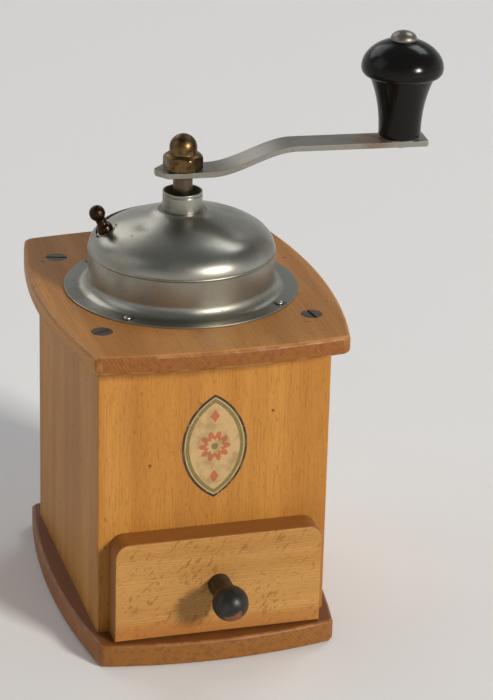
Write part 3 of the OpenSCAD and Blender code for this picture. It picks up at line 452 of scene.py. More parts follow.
# %% Aged metal
def metal(name, bright, stain, shine, dull, shift, scratches=0.3, specks=0.4, metallic=1.0, relief=0.006):
    """Metal from bright to stained, and from shiny to dull, with specks and scratches."""
    finish = Finish(name, Metallic=metallic)
    x, y, z = finish.axes()
    cloud = finish.noise(finish.place, (0.055, 0.055, 0.055), 3.0, 0.0, shift)
    patch = finish.ease(cloud, 0.40, 0.68)
    speck = finish.ease(finish.noise(finish.place, (0.85, 0.85, 0.85), 1.0, 0.0, shift + 3), 0.69, 0.78)
    one = finish.vector(x + y * 0.8 + z * 0.3, y - x * 0.8, z - x * 0.3)
    two = finish.vector(x - y * 0.5 - z * 0.6, y + x * 0.5, z + x * 0.6)
    scratch = finish.ease(finish.noise(one, (0.05, 2.4, 2.4), 1.0, 0.2, shift + 5), 0.66, 0.72)
    scratch = scratch + finish.ease(finish.noise(two, (0.04, 2.0, 2.0), 1.0, 0.2, shift + 7), 0.67, 0.73)
    tone = finish.mix(bright, stain, patch * 0.6)
    tone = finish.mix(tone, tuple(c * 0.35 for c in stain), speck * specks)
    tone = finish.mix(tone, tuple(min(1.0, c * 1.35) for c in bright), scratch * scratches * 0.5)
    finish.colour(tone)
    finish.roughness(shine + patch * (dull - shine) + speck * 0.2 + scratch * scratches * 0.15)
    finish.bump(cloud - speck * 0.4 - scratch * scratches * 0.3, relief)
    finish.tone, finish.xyz, finish.patch = tone, (x, y, z), patch
    return finish


def rusted(finish, at, size, amount, shift):
    """Brown rust in a ragged cloud round a place, where the metal isn't polished by the hand."""
    away = finish.node("ShaderNodeVectorMath", {"operation": "DISTANCE"}, [finish.place, at], "Value")
    ragged = away + finish.noise(finish.place, (0.35, 0.35, 0.35), 4.0, 0.0, shift) * size * 1.2
    rust = finish.ease(ragged, size * 1.9, size * 0.9) * amount
    finish.tone = finish.mix(finish.tone, (0.16, 0.075, 0.03), rust)
    finish.colour(finish.tone)
    finish.plug(finish.shader.inputs["Metallic"], 1.0 - rust * 0.7)


CRANK_LENGTH = 89.6
CRANK_ANGLE = math.radians(-4.75)
GRIP_X, GRIP_Y = CRANK_LENGTH * math.cos(CRANK_ANGLE), CRANK_LENGTH * math.sin(CRANK_ANGLE)

NAIL_R, NAIL_ANGLES = 44.8, (45, 133, 227, 318)

nickel = metal("hopper_nickel", (0.35, 0.345, 0.30), (0.235, 0.215, 0.165), 0.30, 0.44, 200, 0.35, 0.5)
# Painted shade: the flange is darkened in a soft ring round each nail head, where nail and sheet meet.
for angle in NAIL_ANGLES:
    nail_shade_centre = (NAIL_R * math.cos(math.radians(angle)), NAIL_R * math.sin(math.radians(angle)), TOP)
    nickel.tone = nickel.mix(nickel.tone, (0.055, 0.04, 0.025), nickel.spot(nail_shade_centre, 2.9, 0.4) * 0.75)
nickel.colour(nickel.tone)
crank_steel = metal("crank_steel", (0.33, 0.315, 0.275), (0.24, 0.215, 0.17), 0.34, 0.46, 220, 0.35, 0.5)
rusted(crank_steel, (GRIP_X - 12, GRIP_Y, 196.8), 9.0, 0.75, 225)
plain_steel = metal("plain_steel", (0.17, 0.155, 0.13), (0.07, 0.055, 0.038), 0.38, 0.56, 240, 0.5, 0.7)
rivet_steel = metal("rivet_steel", (0.26, 0.24, 0.21), (0.10, 0.085, 0.065), 0.34, 0.52, 250, 0.4, 0.8)
spindle_steel = metal("spindle_steel", (0.13, 0.10, 0.07), (0.07, 0.05, 0.03), 0.36, 0.55, 260, 0.4, 0.6)
nail_steel = metal("nail_steel", (0.50, 0.47, 0.40), (0.30, 0.26, 0.19), 0.26, 0.42, 280, 0.3, 0.5)
iron = metal("grinder_iron", (0.12, 0.115, 0.105), (0.075, 0.06, 0.045), 0.52, 0.72, 300, 0.1, 0.5, 0.8, 0.06)
brass = metal("worn_brass", (0.17, 0.105, 0.045), (0.045, 0.024, 0.010), 0.32, 0.50, 320, 0.4, 0.7)
browned = metal("browned_knob", (0.050, 0.031, 0.017), (0.022, 0.013, 0.008), 0.28, 0.46, 330, 0.4, 0.7)
for old_brass in (brass, browned):
    mottle = old_brass.ease(old_brass.noise(old_brass.place, (0.33, 0.33, 0.33), 3.0, 0.0, 335), 0.40, 0.62)
    old_brass.tone = old_brass.mix(old_brass.tone, (0.035, 0.018, 0.008), mottle * 0.65)
    old_brass.colour(old_brass.tone)
print("metals: nickel, crank, plain, spindle and nail steel, iron, brass")

# %% [markdown]
# ## Lacquer and paint
#
# The grip is turned wood under thick black lacquer, nearly a mirror. The drawer's knob has only paint, and
# fingers have rubbed it through to the reddish wood under the ball. One could paint such wear by hand;
# here a patch of noise is let through where the fingers come, which leaves a ragged border like the real
# one.

# %% Black lacquer and worn paint
lacquer = Finish("grip_lacquer", Specular_IOR_Level=0.22)
haze = lacquer.noise(lacquer.place, (0.07, 0.07, 0.07), 3.0, 0.0, 341)
rub = lacquer.ease(lacquer.noise(lacquer.place, (1.1, 1.1, 0.25), 2.0, 0.0, 343), 0.66, 0.76)
lacquer.colour(lacquer.mix((0.0045, 0.004, 0.0035), (0.022, 0.018, 0.014), rub * 0.6))
lacquer.roughness(0.17 + lacquer.ease(haze, 0.45, 0.75) * 0.12 + rub * 0.15)
lacquer.bump(haze - rub * 0.3, 0.04)

KNOB_AXIS_Z = 32.4
BALL_Y = -84.3
paint = Finish("knob_paint", Specular_IOR_Level=0.35)
clouded = paint.noise(paint.place, (0.25, 0.25, 0.25), 4.0, 0.0, 361)
BARE_AT = (0.5, BALL_Y - 6.0, KNOB_AXIS_Z - 4.6)
away = paint.node("ShaderNodeVectorMath", {"operation": "DISTANCE"}, [paint.place, BARE_AT], "Value")
bare = paint.ease(away + clouded * 7.0, 7.6, 7.0)
chip = paint.ease(paint.noise(paint.place, (0.9, 0.9, 0.9), 2.0, 0.0, 363), 0.70, 0.76)
under = paint.mix((0.30, 0.105, 0.035), (0.13, 0.040, 0.014), clouded)
black = paint.mix((0.012, 0.011, 0.008), (0.030, 0.022, 0.013), paint.ease(clouded, 0.4, 0.7))
paint.colour(paint.mix(paint.mix(black, under, bare * 0.85), under, chip * 0.5))
paint.roughness(0.30 + clouded * 0.2 + bare * 0.15)
paint.bump(clouded - bare * 0.6 - chip * 0.5, 0.05)

# %% [markdown]
# ## The label
#
# A printed paper label, a pointed oval between two arcs, is pasted on the front wall. It carries nothing
# here but a plain rosette with two small diamonds on a cream ground, inside a coloured border. It could be
# an image, but a few formulas give sharp shapes at any size: the depth inside two circles gives the
# borders, and a wave round the centre gives the petals.

# %% Label print
LABEL_Z = 88.7
LABEL_HALF_W, LABEL_HALF_H = 13.5, 22.5
ARC_R = (LABEL_HALF_H ** 2 + LABEL_HALF_W ** 2) / (2 * LABEL_HALF_W)
PETALS = 10
CREAM, OLIVE, CORAL, INK = (0.47, 0.31, 0.13), (0.17, 0.135, 0.035), (0.42, 0.105, 0.035), (0.022, 0.015, 0.009)

label = Finish("label_print", Roughness=0.5)
x, y, z = label.axes()
z = z - LABEL_Z
reach = label.function("ABSOLUTE", x) + (ARC_R - LABEL_HALF_W)
depth = ARC_R - label.function("SQRT", reach * reach + z * z)
radius = label.function("SQRT", x * x + z * z)
petal = label.function("ABSOLUTE", label.function("COSINE", label.function("ARCTAN2", z, x) * (PETALS / 2)))
aside = label.function("ABSOLUTE", label.function("ABSOLUTE", z) - 13.2)
diamond = label.function("ABSOLUTE", x) + aside * 0.7
print_tone = label.mix(CREAM, OLIVE, label.ease(depth, 3.1, 2.9))
print_tone = label.mix(print_tone, CREAM, label.ease(depth, 1.55, 1.45))
print_tone = label.mix(print_tone, INK, label.ease(depth, 1.05, 0.95))
print_tone = label.mix(print_tone, CORAL, label.ease(radius - petal * 2.6, 4.2, 4.0))
print_tone = label.mix(print_tone, CREAM, label.ease(radius - petal * 1.2, 2.5, 2.35))
print_tone = label.mix(print_tone, OLIVE, label.ease(radius, 1.5, 1.35))
print_tone = label.mix(print_tone, CORAL, label.ease(diamond, 2.1, 1.9))
soil = label.noise(label.place, (0.18, 0.18, 0.18), 4.0, 0.0, 381)
worn = label.ease(label.noise(label.place, (0.7, 0.7, 0.7), 3.0, 0.0, 383), 0.60, 0.72)
print_tone = label.mix(print_tone, (0.20, 0.11, 0.035), label.ease(soil, 0.42, 0.72) * 0.55)
label.colour(label.mix(print_tone, (0.46, 0.27, 0.10), worn * 0.45))
label.bump(soil, 0.05)

# %% [markdown]
# ## Making meshes
#
# Most pieces are either turned on a lathe or sawn from a board. A turned piece is a profile swung round an
# axis. A sawn piece keeps the plain piece's outline, and only its arrises are rounded. Both could be done
# with modifiers, but plain mesh code shows what happens and lets the arrises be marked, so that the
# finishes can wear them.

# %% Helpers for meshes
ROUND_STEPS = 6
FINE = 160


def outline(*corners):
    """A profile through corners (radius, height), each with its rounding as an optional third number."""
    points = []
    for index, (r, h, *rounding) in enumerate(corners):
        here = Vector((r, h))
        if not rounding:
            points.append(here)
            continue
        before = Vector(corners[index - 1][:2]) - here
        after = Vector(corners[(index + 1) % len(corners)][:2]) - here
        start, end = here + before.normalized() * rounding[0], here + after.normalized() * rounding[0]
        for step in range(ROUND_STEPS + 1):
            t = step / ROUND_STEPS
            points.append(start * (1 - t) ** 2 + here * 2 * t * (1 - t) + end * t * t)
    return points


def arc(centre, radii, start, end, steps=16):
    """Points of an ellipse's arc, between two angles in degrees."""
    angles = [math.radians(start + (end - start) * step / steps) for step in range(steps + 1)]
    return [Vector((centre[0] + radii[0] * math.cos(a), centre[1] + radii[1] * math.sin(a))) for a in angles]


def turned(profile, sides=FINE, limit=None):
    """Swings a profile of (radius, height) round Z. The limit may hold a radius in at an angle and height."""
    bm = bmesh.new()
    rings = []
    for r, h in profile:
        if r < 1e-6:
            rings.append([bm.verts.new((0, 0, h))])
            continue
        ring = []
        for side in range(sides):
            a = 2 * math.pi * side / sides
            reach = min(r, limit(a, h)) if limit else r
            ring.append(bm.verts.new((reach * math.cos(a), reach * math.sin(a), h)))
        rings.append(ring)
    pairs = list(zip(rings, rings[1:]))
    if profile[0][0] > 1e-6:
        pairs.append((rings[-1], rings[0]))
    for low, high in pairs:
        for side in range(sides):
            after = (side + 1) % sides
            corners = [low[side % len(low)], low[after % len(low)]]
            corners += [high[after % len(high)], high[side % len(high)]]
            bm.faces.new(list(dict.fromkeys(corners)))
    bmesh.ops.recalc_face_normals(bm, faces=bm.faces)
    return bm


def copied(node):
    """A plain piece's mesh in millimetres, with its flat faces whole again."""
    bm = bmesh.new()
    bm.from_mesh(nodes[node].data)
    bm.transform(Matrix.Scale(1 / MM, 4))
    bmesh.ops.remove_doubles(bm, verts=bm.verts, dist=0.002)
    bmesh.ops.dissolve_limit(
        bm, angle_limit=math.radians(0.3), verts=bm.verts, edges=bm.edges, use_dissolve_boundaries=False
    )
    return bm


def arrised(bm, rounding, sharp=35, where=None):
    """Rounds the sharp edges whose middle passes the test, and marks the rounding."""
    edges = []
    for edge in bm.edges:
        middle = (edge.verts[0].co + edge.verts[1].co) / 2
        if edge.calc_face_angle(0) > math.radians(sharp) and (where is None or where(middle)):
            edges.append(edge)
    made = bmesh.ops.bevel(
        bm, geom=edges, offset=rounding, offset_type="OFFSET", segments=4, profile=0.5, affect="EDGES",
        clamp_overlap=True,
    )
    layer = bm.verts.layers.float.new("arris")
    rounded = set(made["faces"])
    for vert in bm.verts:
        vert[layer] = float(all(face in rounded for face in vert.link_faces))
    return bm


def place_piece(name, bm, finish, slot, body, *replaced, sharp=38, flat_faces=True):
    """Turns a mesh in millimetres into a piece that rides on a body and stands for plain pieces."""
    bm.transform(Matrix.Scale(MM, 4))
    mesh = bpy.data.meshes.new(name)
    bm.to_mesh(mesh)
    bm.free()
    mesh.shade_smooth()
    mesh.set_sharp_from_angle(angle=math.radians(sharp))
    mesh.materials.append(finish.material)
    piece = bpy.data.objects.new(name, mesh)
    bpy.context.scene.collection.objects.link(piece)
    if flat_faces:
        evened = piece.modifiers.new("even_light", "WEIGHTED_NORMAL")
        evened.keep_sharp = True
    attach(piece, body)
    if replaced:
        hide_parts(*replaced)
    print(name, len(mesh.polygons), "faces")
    return piece


# %% [markdown]
# ## The boards and the walls
#
# The top and base boards have bowed edges and thick, well rounded arrises. The walls meet at the corners
# with the arris taken off after gluing, so one rounding crosses both walls. To get that, each wall is cut
# by the same planes, which touch the corner's rounding. Rounding each wall alone would leave a groove
# along the joint.

# %% Boards
def outside(x, y):
    """Passes what lies beyond these distances from the middle, so that the screw holes stay as they are."""
    return lambda middle: abs(middle.x) > x or abs(middle.y) > y


TOP_ARRIS, BASE_ARRIS = 1.9, 1.5
top_mesh = arrised(copied("top_board"), TOP_ARRIS, where=outside(49, 60))
place_piece("top_board_rounded", top_mesh, top_wood, "top_wood", "case", "top_board")
base_mesh = arrised(copied("base_board"), BASE_ARRIS, where=outside(48.2, 60))
place_piece("base_board_rounded", base_mesh, base_wood, "base_wood", "case", "base_board")

# %% Walls
CORNER_ROUNDING = 1.1
CORNER_CUTS = (18, 45, 72)


def corner_rounded(bm):
    """Cuts a wall's outer corners by planes that touch the rounding."""
    layer = bm.verts.layers.float.get("arris") or bm.verts.layers.float.new("arris")
    for side_x in (-1, 1):
        for side_y in (-1, 1):
            centre = Vector((side_x * (HALF_W - CORNER_ROUNDING), side_y * (HALF_D - CORNER_ROUNDING), 0))
            for angle in CORNER_CUTS:
                a = math.radians(angle)
                away = Vector((side_x * math.cos(a), side_y * math.sin(a), 0))
                cut = bmesh.ops.bisect_plane(
                    bm, geom=bm.verts[:] + bm.edges[:] + bm.faces[:], plane_co=centre + away * CORNER_ROUNDING,
                    plane_no=away, clear_outer=True, dist=1e-5,
                )
                edges = [e for e in cut["geom_cut"] if isinstance(e, bmesh.types.BMEdge) and e.is_boundary]
                if edges:
                    bmesh.ops.holes_fill(bm, edges=edges)
    for vert in bm.verts:
        from_side, from_front = HALF_W - abs(vert.co.x), HALF_D - abs(vert.co.y)
        if 0.01 < from_side < CORNER_ROUNDING and 0.01 < from_front < CORNER_ROUNDING:
            vert[layer] = 1.0
    bmesh.ops.recalc_face_normals(bm, faces=bm.faces)
    return bm


def opening_edge(middle):
    """Passes the edges of the drawer's opening on the wall's outer face."""
    return middle.y < -HALF_D + 0.1 and abs(middle.x) < 46 and BASE_TOP + 0.2 < middle.z < 60


for side in ("left", "right", "back"):
    wall = corner_rounded(copied(f"{side}_wall"))
    place_piece(f"{side}_wall_rounded", wall, wall_wood, "wall_wood", "case", f"{side}_wall")
front = corner_rounded(arrised(copied("front_wall"), 0.5, where=opening_edge))
place_piece("front_wall_rounded", front, wall_wood, "wall_wood", "case", "front_wall")

# %% [markdown]
# ## The drawer
#
# The drawer's front is the only part of it that shows when it is shut. Its face has soft arrises all
# round, and behind it the box is plain bare wood with small arrises. The knob is one turned piece: a
# straight neck and a ball.

# %% Drawer
FACE_Y = span("drawer_front", Y)[0]
drawer_face = arrised(copied("drawer_front"), 1.5, sharp=30, where=lambda middle: middle.y < FACE_Y + 0.5)
place_piece("drawer_front_rounded", drawer_face, face_wood, "drawer_face_wood", "drawer", "drawer_front")
for board in ("drawer_left_side", "drawer_right_side", "drawer_back", "drawer_bottom"):
    place_piece(f"{board}_rounded", arrised(copied(board), 0.3), bare_wood, "inner_wood", "drawer", board)

BALL_R, NECK_R = 7.3, 4.7
ball_far = -(BALL_Y - FACE_Y)
meet = math.degrees(math.asin(NECK_R / BALL_R))
knob_profile = [Vector((0, 0.0)), Vector((NECK_R, 0.0))]
knob_profile += outline((NECK_R, 0.8), (NECK_R, ball_far - BALL_R * math.cos(math.radians(meet))))
knob_profile += arc((0, ball_far), (BALL_R, BALL_R), -90 + meet + 2, 90, 36)
knob_profile[-1] = Vector((0, ball_far + BALL_R))
knob = turned(knob_profile)
knob.transform(Matrix.Translation((0, FACE_Y, KNOB_AXIS_Z)) @ Matrix.Rotation(math.radians(90), 4, "X"))
place_piece("drawer_knob_turned", knob, paint, "knob_paint", "drawer", "drawer_knob", flat_faces=False)

# %% [markdown]
# ## The hopper
#
# Two pieces of pressed sheet make the hopper. The skirt has a flange for the nails, a flare, and a
# straight band with a rolled bead at its upper edge. The dome over it follows one curve: steep at the rim
# and almost flat on top. A window is cut out behind, where the beans go in. A lathe profile gives both,
# and the window is cut with a solid of the window's shape, because a hand-made hole in a curved grid would
# leave ragged edges.

# %% Skirt
FLANGE_R, SHEET, BAND_R, FLARE_R = 48.2, 0.8, 38.3, 4.6
SEAM_Z = 153.5
BEAD_H, BEAD = 1.2, 0.35
LAP_R, LAP_TOP = 36.6, 154.9
skirt_top = TOP + SHEET
flare_centre = (BAND_R + FLARE_R, skirt_top + FLARE_R)
skirt_profile = outline((FLANGE_R, TOP, 0.25), (FLANGE_R, skirt_top, 0.35), (flare_centre[0], skirt_top))
skirt_profile += arc(flare_centre, (FLARE_R, FLARE_R), 270, 180)[1:]
for step in range(9):
    rise = step / 8
    skirt_profile.append(Vector((BAND_R + BEAD * math.sin(math.pi * rise), SEAM_Z - BEAD_H * (1 - rise))))
skirt_profile += outline(
    (LAP_R, SEAM_Z), (LAP_R, LAP_TOP, 0.2), (LAP_R - SHEET, LAP_TOP, 0.2), (LAP_R - SHEET, SEAM_Z - SHEET, 0.5),
    (BAND_R - SHEET, SEAM_Z - SHEET - 0.8, 0.4),
)
skirt_profile += arc(flare_centre, (FLARE_R + SHEET, FLARE_R + SHEET), 180, 270)
place_piece("hopper_skirt_pressed", turned(skirt_profile), nickel, "hopper_nickel", "case", "hopper_skirt",
            flat_faces=False)

# %% Dome
DOME_RISE, CONE_RISE, FULLNESS = 8.3, 10.4, 7
SEAT_R, SEAT_TOP, SEAT_HOLE_R = 10.6, 169.92, 6.2
CUT_LOW, CUT_HIGH = 150, 176
WINDOW_FROM, WINDOW_TO, WINDOW_IN, WINDOW_OUT = 90, 173, 14.0, 35.2
HATCH_ANGLE, HATCH_R, SCALLOP_R = 177, 31.2, 4.3
DENT_AT, DENT_R, DENT_DEPTH = (-18.0, -8.3), 5.0, 0.35


def dome_height(r, inside):
    """Height of the dome's curve at a radius, or of the same curve a sheet's thickness inside it."""
    full = max(0.0, 1 - (r / (BAND_R - inside)) ** FULLNESS)
    return SEAM_Z + (DOME_RISE - inside) * math.sqrt(full) + CONE_RISE * (1 - r / BAND_R)


def dome_curve(inside):
    rim = BAND_R - inside
    steps = [rim * math.sin(math.radians(a)) ** 0.5 for a in range(90, 5, -2)]
    return [Vector((r, dome_height(r, inside))) for r in steps if r > SEAT_R]


def cut_away(bm, cutters):
    """Takes other solids away from a mesh."""
    mesh = bpy.data.meshes.new("whole")
    bm.to_mesh(mesh)
    bm.free()
    whole = bpy.data.objects.new("whole", mesh)
    bpy.context.scene.collection.objects.link(whole)
    helpers = [whole]
    for cutter in cutters:
        cutter_mesh = bpy.data.meshes.new("cutter")
        cutter.to_mesh(cutter_mesh)
        cutter.free()
        helper = bpy.data.objects.new("cutter", cutter_mesh)
        bpy.context.scene.collection.objects.link(helper)
        cut = whole.modifiers.new("cut", "BOOLEAN")
        cut.operation, cut.solver, cut.object = "DIFFERENCE", "EXACT", helper
        helpers.append(helper)
    result = bmesh.new()
    result.from_mesh(whole.evaluated_get(bpy.context.evaluated_depsgraph_get()).to_mesh())
    for helper in helpers:
        bpy.data.objects.remove(helper)
    return result


def prism(points, low, high):
    """A solid that stands on a flat outline."""
    bm = bmesh.new()
    floor_face = bm.faces.new([bm.verts.new((px, py, low)) for px, py in points])
    raised = bmesh.ops.extrude_face_region(bm, geom=[floor_face])
    for item in raised["geom"]:
        if isinstance(item, bmesh.types.BMVert):
            item.co.z = high
    bmesh.ops.recalc_face_normals(bm, faces=bm.faces)
    return bm


def ring_points(r, start, end, steps):
    angles = [math.radians(start + (end - start) * step / steps) for step in range(steps + 1)]
    return [(r * math.cos(a), r * math.sin(a)) for a in angles]


dome_profile = dome_curve(0) + outline((SEAT_R, SEAT_TOP - 0.4), (SEAT_R - 0.4, SEAT_TOP, 0.15),
                                       (SEAT_HOLE_R, SEAT_TOP), (SEAT_HOLE_R, SEAT_TOP - SHEET)) + dome_curve(SHEET)[::-1]
hatch_x = HATCH_R * math.cos(math.radians(HATCH_ANGLE))
hatch_y = HATCH_R * math.sin(math.radians(HATCH_ANGLE))
window = ring_points(WINDOW_OUT, WINDOW_FROM, WINDOW_TO, 40) + ring_points(WINDOW_IN, WINDOW_TO, WINDOW_FROM, 30)
scallop = [(hatch_x + px, hatch_y + py) for px, py in ring_points(SCALLOP_R, 0, 360 - 9, 39)]
# An odd number of sides keeps the lathe's lines off the window's edges, where a cut would leave a slit.
dome_blank = turned(dome_profile, sides=FINE + 1)
dome = cut_away(dome_blank, [prism(window, CUT_LOW, CUT_HIGH), prism(scallop, CUT_LOW, CUT_HIGH)])
for vert in dome.verts:
    away = math.dist(vert.co.xy, DENT_AT) / DENT_R
    vert.co.z -= DENT_DEPTH * math.exp(-away * away * 2)
place_piece("hopper_dome_pressed", dome, nickel, "hopper_nickel", "case", "hopper_dome", flat_faces=False)

# %% Collar
COLLAR_R, COLLAR_TOP, COLLAR_WALL, COLLAR_FLOOR, COLLAR_HOLE_R = 8.15, 177.92, 0.6, 172.92, 6.1
GROOVE_LOW, GROOVE_HIGH, GROOVE_DEPTH = 176.3, 177.0, 0.35
collar_profile = outline(
    (COLLAR_HOLE_R, SEAT_TOP), (COLLAR_R, SEAT_TOP, 0.2), (COLLAR_R, GROOVE_LOW, 0.1),
    (COLLAR_R - GROOVE_DEPTH, GROOVE_LOW + 0.15, 0.1), (COLLAR_R - GROOVE_DEPTH, GROOVE_HIGH - 0.15, 0.1),
    (COLLAR_R, GROOVE_HIGH, 0.1), (COLLAR_R, COLLAR_TOP, 0.25), (COLLAR_R - COLLAR_WALL, COLLAR_TOP, 0.2),
    (COLLAR_R - COLLAR_WALL, COLLAR_FLOOR, 0.3), (COLLAR_HOLE_R, COLLAR_FLOOR),
)
place_piece("dome_collar_turned", turned(collar_profile, 96), nickel, "hopper_nickel", "case", "dome_collar",
            flat_faces=False)

# %% [markdown]
# ## The hatch's knob
#
# The leaf inside the dome is moved by a small knob that leans outward. It is turned with a collar at its
# foot, a thin neck and a ball. It is modelled upright and then leaned and set in place by one matrix.

# %% Hatch knob
HATCH_Z, HATCH_LEAN = 161.38, math.radians(25)
KNOB_FOOT = 0.9
hatch_frame = (
    Matrix.Translation((hatch_x, hatch_y, HATCH_Z)) @ Matrix.Rotation(math.radians(HATCH_ANGLE), 4, "Z")
    @ Matrix.Rotation(HATCH_LEAN, 4, "Y")
)
small_profile = outline(
    (0, KNOB_FOOT), (3.3, KNOB_FOOT, 0.3), (3.3, KNOB_FOOT + 2.2, 0.9), (2.1, KNOB_FOOT + 3.4, 0.5),
    (2.1, 6.7, 0.3),
)
small_profile += arc((0, 9.4), (3.3, 3.3), -48, 90, 24)
small_profile[-1] = Vector((0, 12.7))
small_knob = turned(small_profile, 64)
small_knob.transform(hatch_frame)
place_piece("hatch_knob_turned", small_knob, browned, "worn_brass", "hatch", "hatch_knob", flat_faces=False)
place_piece("hatch_washer_rounded", arrised(copied("hatch_washer"), 0.12), nail_steel, "nail_steel", "hatch",
            "hatch_washer")

# %% [markdown]
# ## The crank, its nut and its grip
#
# The crank is a strip of steel, bent up and down again, with the arrises broken by a file. Its nut has six
# flats and a dome. A real hexagon nut is turned to a cone first, so each flat ends in a curve: the same
# happens here when the radius of a turned profile is held in by the six flats. The grip is a long turned
# mushroom of lacquered wood on a riveted pin.

# %% Crank
place_piece("crank_arm_filed", arrised(copied("crank_arm"), 0.45, sharp=50), crank_steel, "crank_steel", "rotor",
            "crank_arm")

# %% Nut
NUT_LOW, NUT_HIGH, NUT_FLATS, NUT_TURN = 187.22, 193.72, 14.7, math.radians(36.6)
NUT_DOME_R, NUT_DOME_FOOT, NUT_TOP = 5.65, 196.17, 201.82


def six_flats(angle, height):
    """Distance from the axis to the nut's flat at an angle, or anything above the flats."""
    if height > NUT_HIGH + 0.01:
        return NUT_FLATS
    return NUT_FLATS / 2 / math.cos((angle - NUT_TURN) % (math.pi / 3) - math.pi / 6)


nut_corner = NUT_FLATS / 2 / math.cos(math.pi / 6) - 0.3
nut_profile = [Vector((3.0, NUT_LOW)), Vector((nut_corner - 0.9, NUT_LOW)), Vector((nut_corner, NUT_LOW + 0.55))]
nut_profile += [Vector((nut_corner, NUT_LOW + 0.55 + 0.6 * step)) for step in range(1, 8)]
nut_profile += [Vector((nut_corner - 0.30 * step, NUT_HIGH - 1.2 + 0.2 * step)) for step in range(1, 7)]
nut_profile += outline(
    (nut_corner - 2.0, NUT_HIGH), (NUT_DOME_R, NUT_HIGH + 0.05, 0.3), (NUT_DOME_R, NUT_DOME_FOOT)
)
nut_profile += arc((0, NUT_DOME_FOOT), (NUT_DOME_R, NUT_TOP - NUT_DOME_FOOT), 0, 90, 20)[1:]
nut_profile[-1] = Vector((0, NUT_TOP))
nut_profile.insert(0, Vector((0, NUT_LOW)))
place_piece("crank_nut_turned", turned(nut_profile, 240, six_flats), brass, "worn_brass", "rotor", "crank_nut",
            sharp=24, flat_faces=False)

# %% Grip and its pin
GRIP_FOOT, STEM_R, STEM_FLARE, STEM_POWER = 197.62, 8.7, 4.7, 2.3
STEM_LOW, STEM_HIGH, CAP_Z, CAP_R, CAP_H = 198.62, 223.12, 226.52, 16.8, 12.0
CAP_UNDERSIDE = ((14.4, 223.62), (15.7, 224.02), (16.5, 225.02))
PIN_R, GRIP_BORE = 3.0, 3.06
PEEN_R, PEEN_LOW, PEEN_HIGH = 4.4, 193.2, 194.5
HEAD_R, HEAD_RIM, HEAD_TOP = 5.4, 238.5, 241.92
at_grip = Matrix.Translation((GRIP_X, GRIP_Y, 0))
grip_profile = outline((GRIP_BORE, GRIP_FOOT), (STEM_R - 0.4, GRIP_FOOT, 0.5), (STEM_R, STEM_LOW))
for step in range(1, 29):
    u = step / 28
    grip_profile.append(Vector((STEM_R + STEM_FLARE * u ** STEM_POWER, STEM_LOW + (STEM_HIGH - STEM_LOW) * u)))
grip_profile += [Vector(corner) for corner in CAP_UNDERSIDE]
cap_curve = arc((0, CAP_Z), (CAP_R, CAP_H), 0, 90, 44)
grip_profile += [point for point in cap_curve if point.x > GRIP_BORE + 0.5]
grip_profile += [Vector((GRIP_BORE, cap_curve[-1].y))]
grip = turned(grip_profile)
grip.transform(at_grip)
place_piece("crank_grip_turned", grip, lacquer, "grip_lacquer", "grip", "crank_grip", flat_faces=False)

pin_profile = outline(
    (0, PEEN_LOW), (PEEN_R - 0.8, PEEN_LOW, 0.6), (PEEN_R, PEEN_LOW + 0.8, 0.4), (PEEN_R, PEEN_HIGH),
    (PIN_R, PEEN_HIGH), (PIN_R, HEAD_RIM + 0.25), (HEAD_R - 0.1, HEAD_RIM - 0.45), (HEAD_R, HEAD_RIM - 0.25),
)
pin_profile += arc((0, HEAD_RIM), (HEAD_R, HEAD_TOP - HEAD_RIM), 6, 90, 14)
pin_profile[-1] = Vector((0, HEAD_TOP))
pin = turned(pin_profile, 72)
pin.transform(at_grip)
place_piece("grip_pin_riveted", pin, rivet_steel, "crank_steel", "rotor", "grip_pin", flat_faces=False)
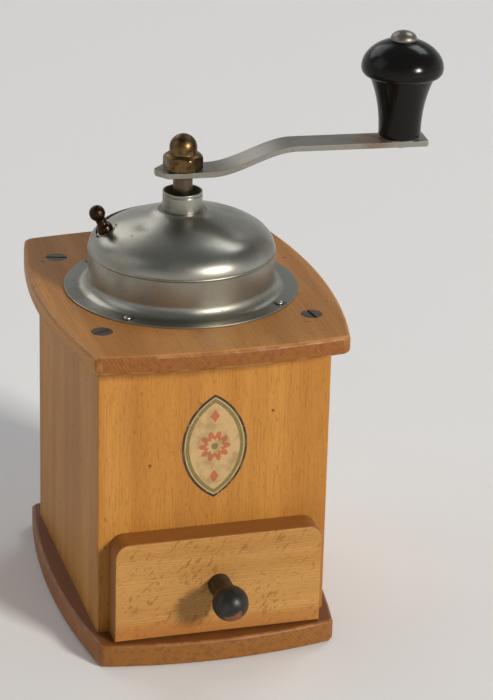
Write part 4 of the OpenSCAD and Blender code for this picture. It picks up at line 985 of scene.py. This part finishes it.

# %% [markdown]
# ## Screws, nails and the spring
#
# The small metal pieces keep their shapes and get their arrises broken. The spring under the hopper pushes
# the spindle down. It is a round wire wound in a coil. In the real mill it gives way when the adjusting
# screw lifts the spindle; here it is modelled at one length.

# %% Small metal
for name, rounding, finish, slot in (
    ("top_board_screws", 0.16, plain_steel, "plain_steel"),
    ("base_board_screws", 0.16, plain_steel, "plain_steel"),
    ("flange_nails", 0.28, nail_steel, "nail_steel"),
):
    place_piece(f"{name}_worn", arrised(copied(name), rounding, sharp=50), finish, slot, "case", name)

# %% Spring
COIL_R, WIRE_R, COIL_TURNS = 6.3, 0.7, 5
COIL_LOW, COIL_HIGH = 115.8 + 0.7, 130.7 - 0.7
RINGS, RING_SIDES = 240, 12

coil = bmesh.new()
coil_rings = []
for ring in range(RINGS + 1):
    turn_angle = 2 * math.pi * COIL_TURNS * ring / RINGS
    middle = Vector((0, 0, COIL_LOW + (COIL_HIGH - COIL_LOW) * ring / RINGS))
    outward = Vector((math.cos(turn_angle), math.sin(turn_angle), 0))
    coil_rings.append([
        coil.verts.new(middle + outward * (COIL_R + WIRE_R * math.cos(a)) + Vector((0, 0, WIRE_R * math.sin(a))))
        for a in [2 * math.pi * side / RING_SIDES for side in range(RING_SIDES)]
    ])
for low, high in zip(coil_rings, coil_rings[1:]):
    for side in range(RING_SIDES):
        after = (side + 1) % RING_SIDES
        coil.faces.new((low[side], low[after], high[after], high[side]))
coil.faces.new(coil_rings[0])
coil.faces.new(coil_rings[-1])
bmesh.ops.recalc_face_normals(coil, faces=coil.faces)
spring = place_piece("spindle_spring_wound", coil, nail_steel, "nail_steel", "case", "spindle_spring",
                     flat_faces=False)
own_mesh(spring)

# %% [markdown]
# ## The pieces that keep their plain shape
#
# What is left is inside the box or mostly covered. These pieces already have their true shapes, so each
# gets only its finish.

# %% Finish the rest
def dress(finish, *names):
    for name in names:
        piece = nodes[name]
        if not piece.material_slots:
            piece.data.materials.append(finish.material)
        for slot in piece.material_slots:
            slot.material = finish.material


dress(bare_wood, "chute_board")
dress(label, "front_label")
dress(nickel, "hatch_leaf")
dress(nail_steel, "hatch_nut", "drawer_pins")
dress(iron, "burr_housing", "cone_burr")
dress(brass, "bearing_bush", "adjusting_wheel")
dress(spindle_steel, "spindle")
dress(crank_steel, "grip_washer")
dress(
    plain_steel, "housing_screws", "upper_bridge", "bridge_rivets", "spring_washer", "cone_pin", "lower_stirrup",
    "stirrup_screws", "adjusting_stem", "drawer_knob_screw",
)
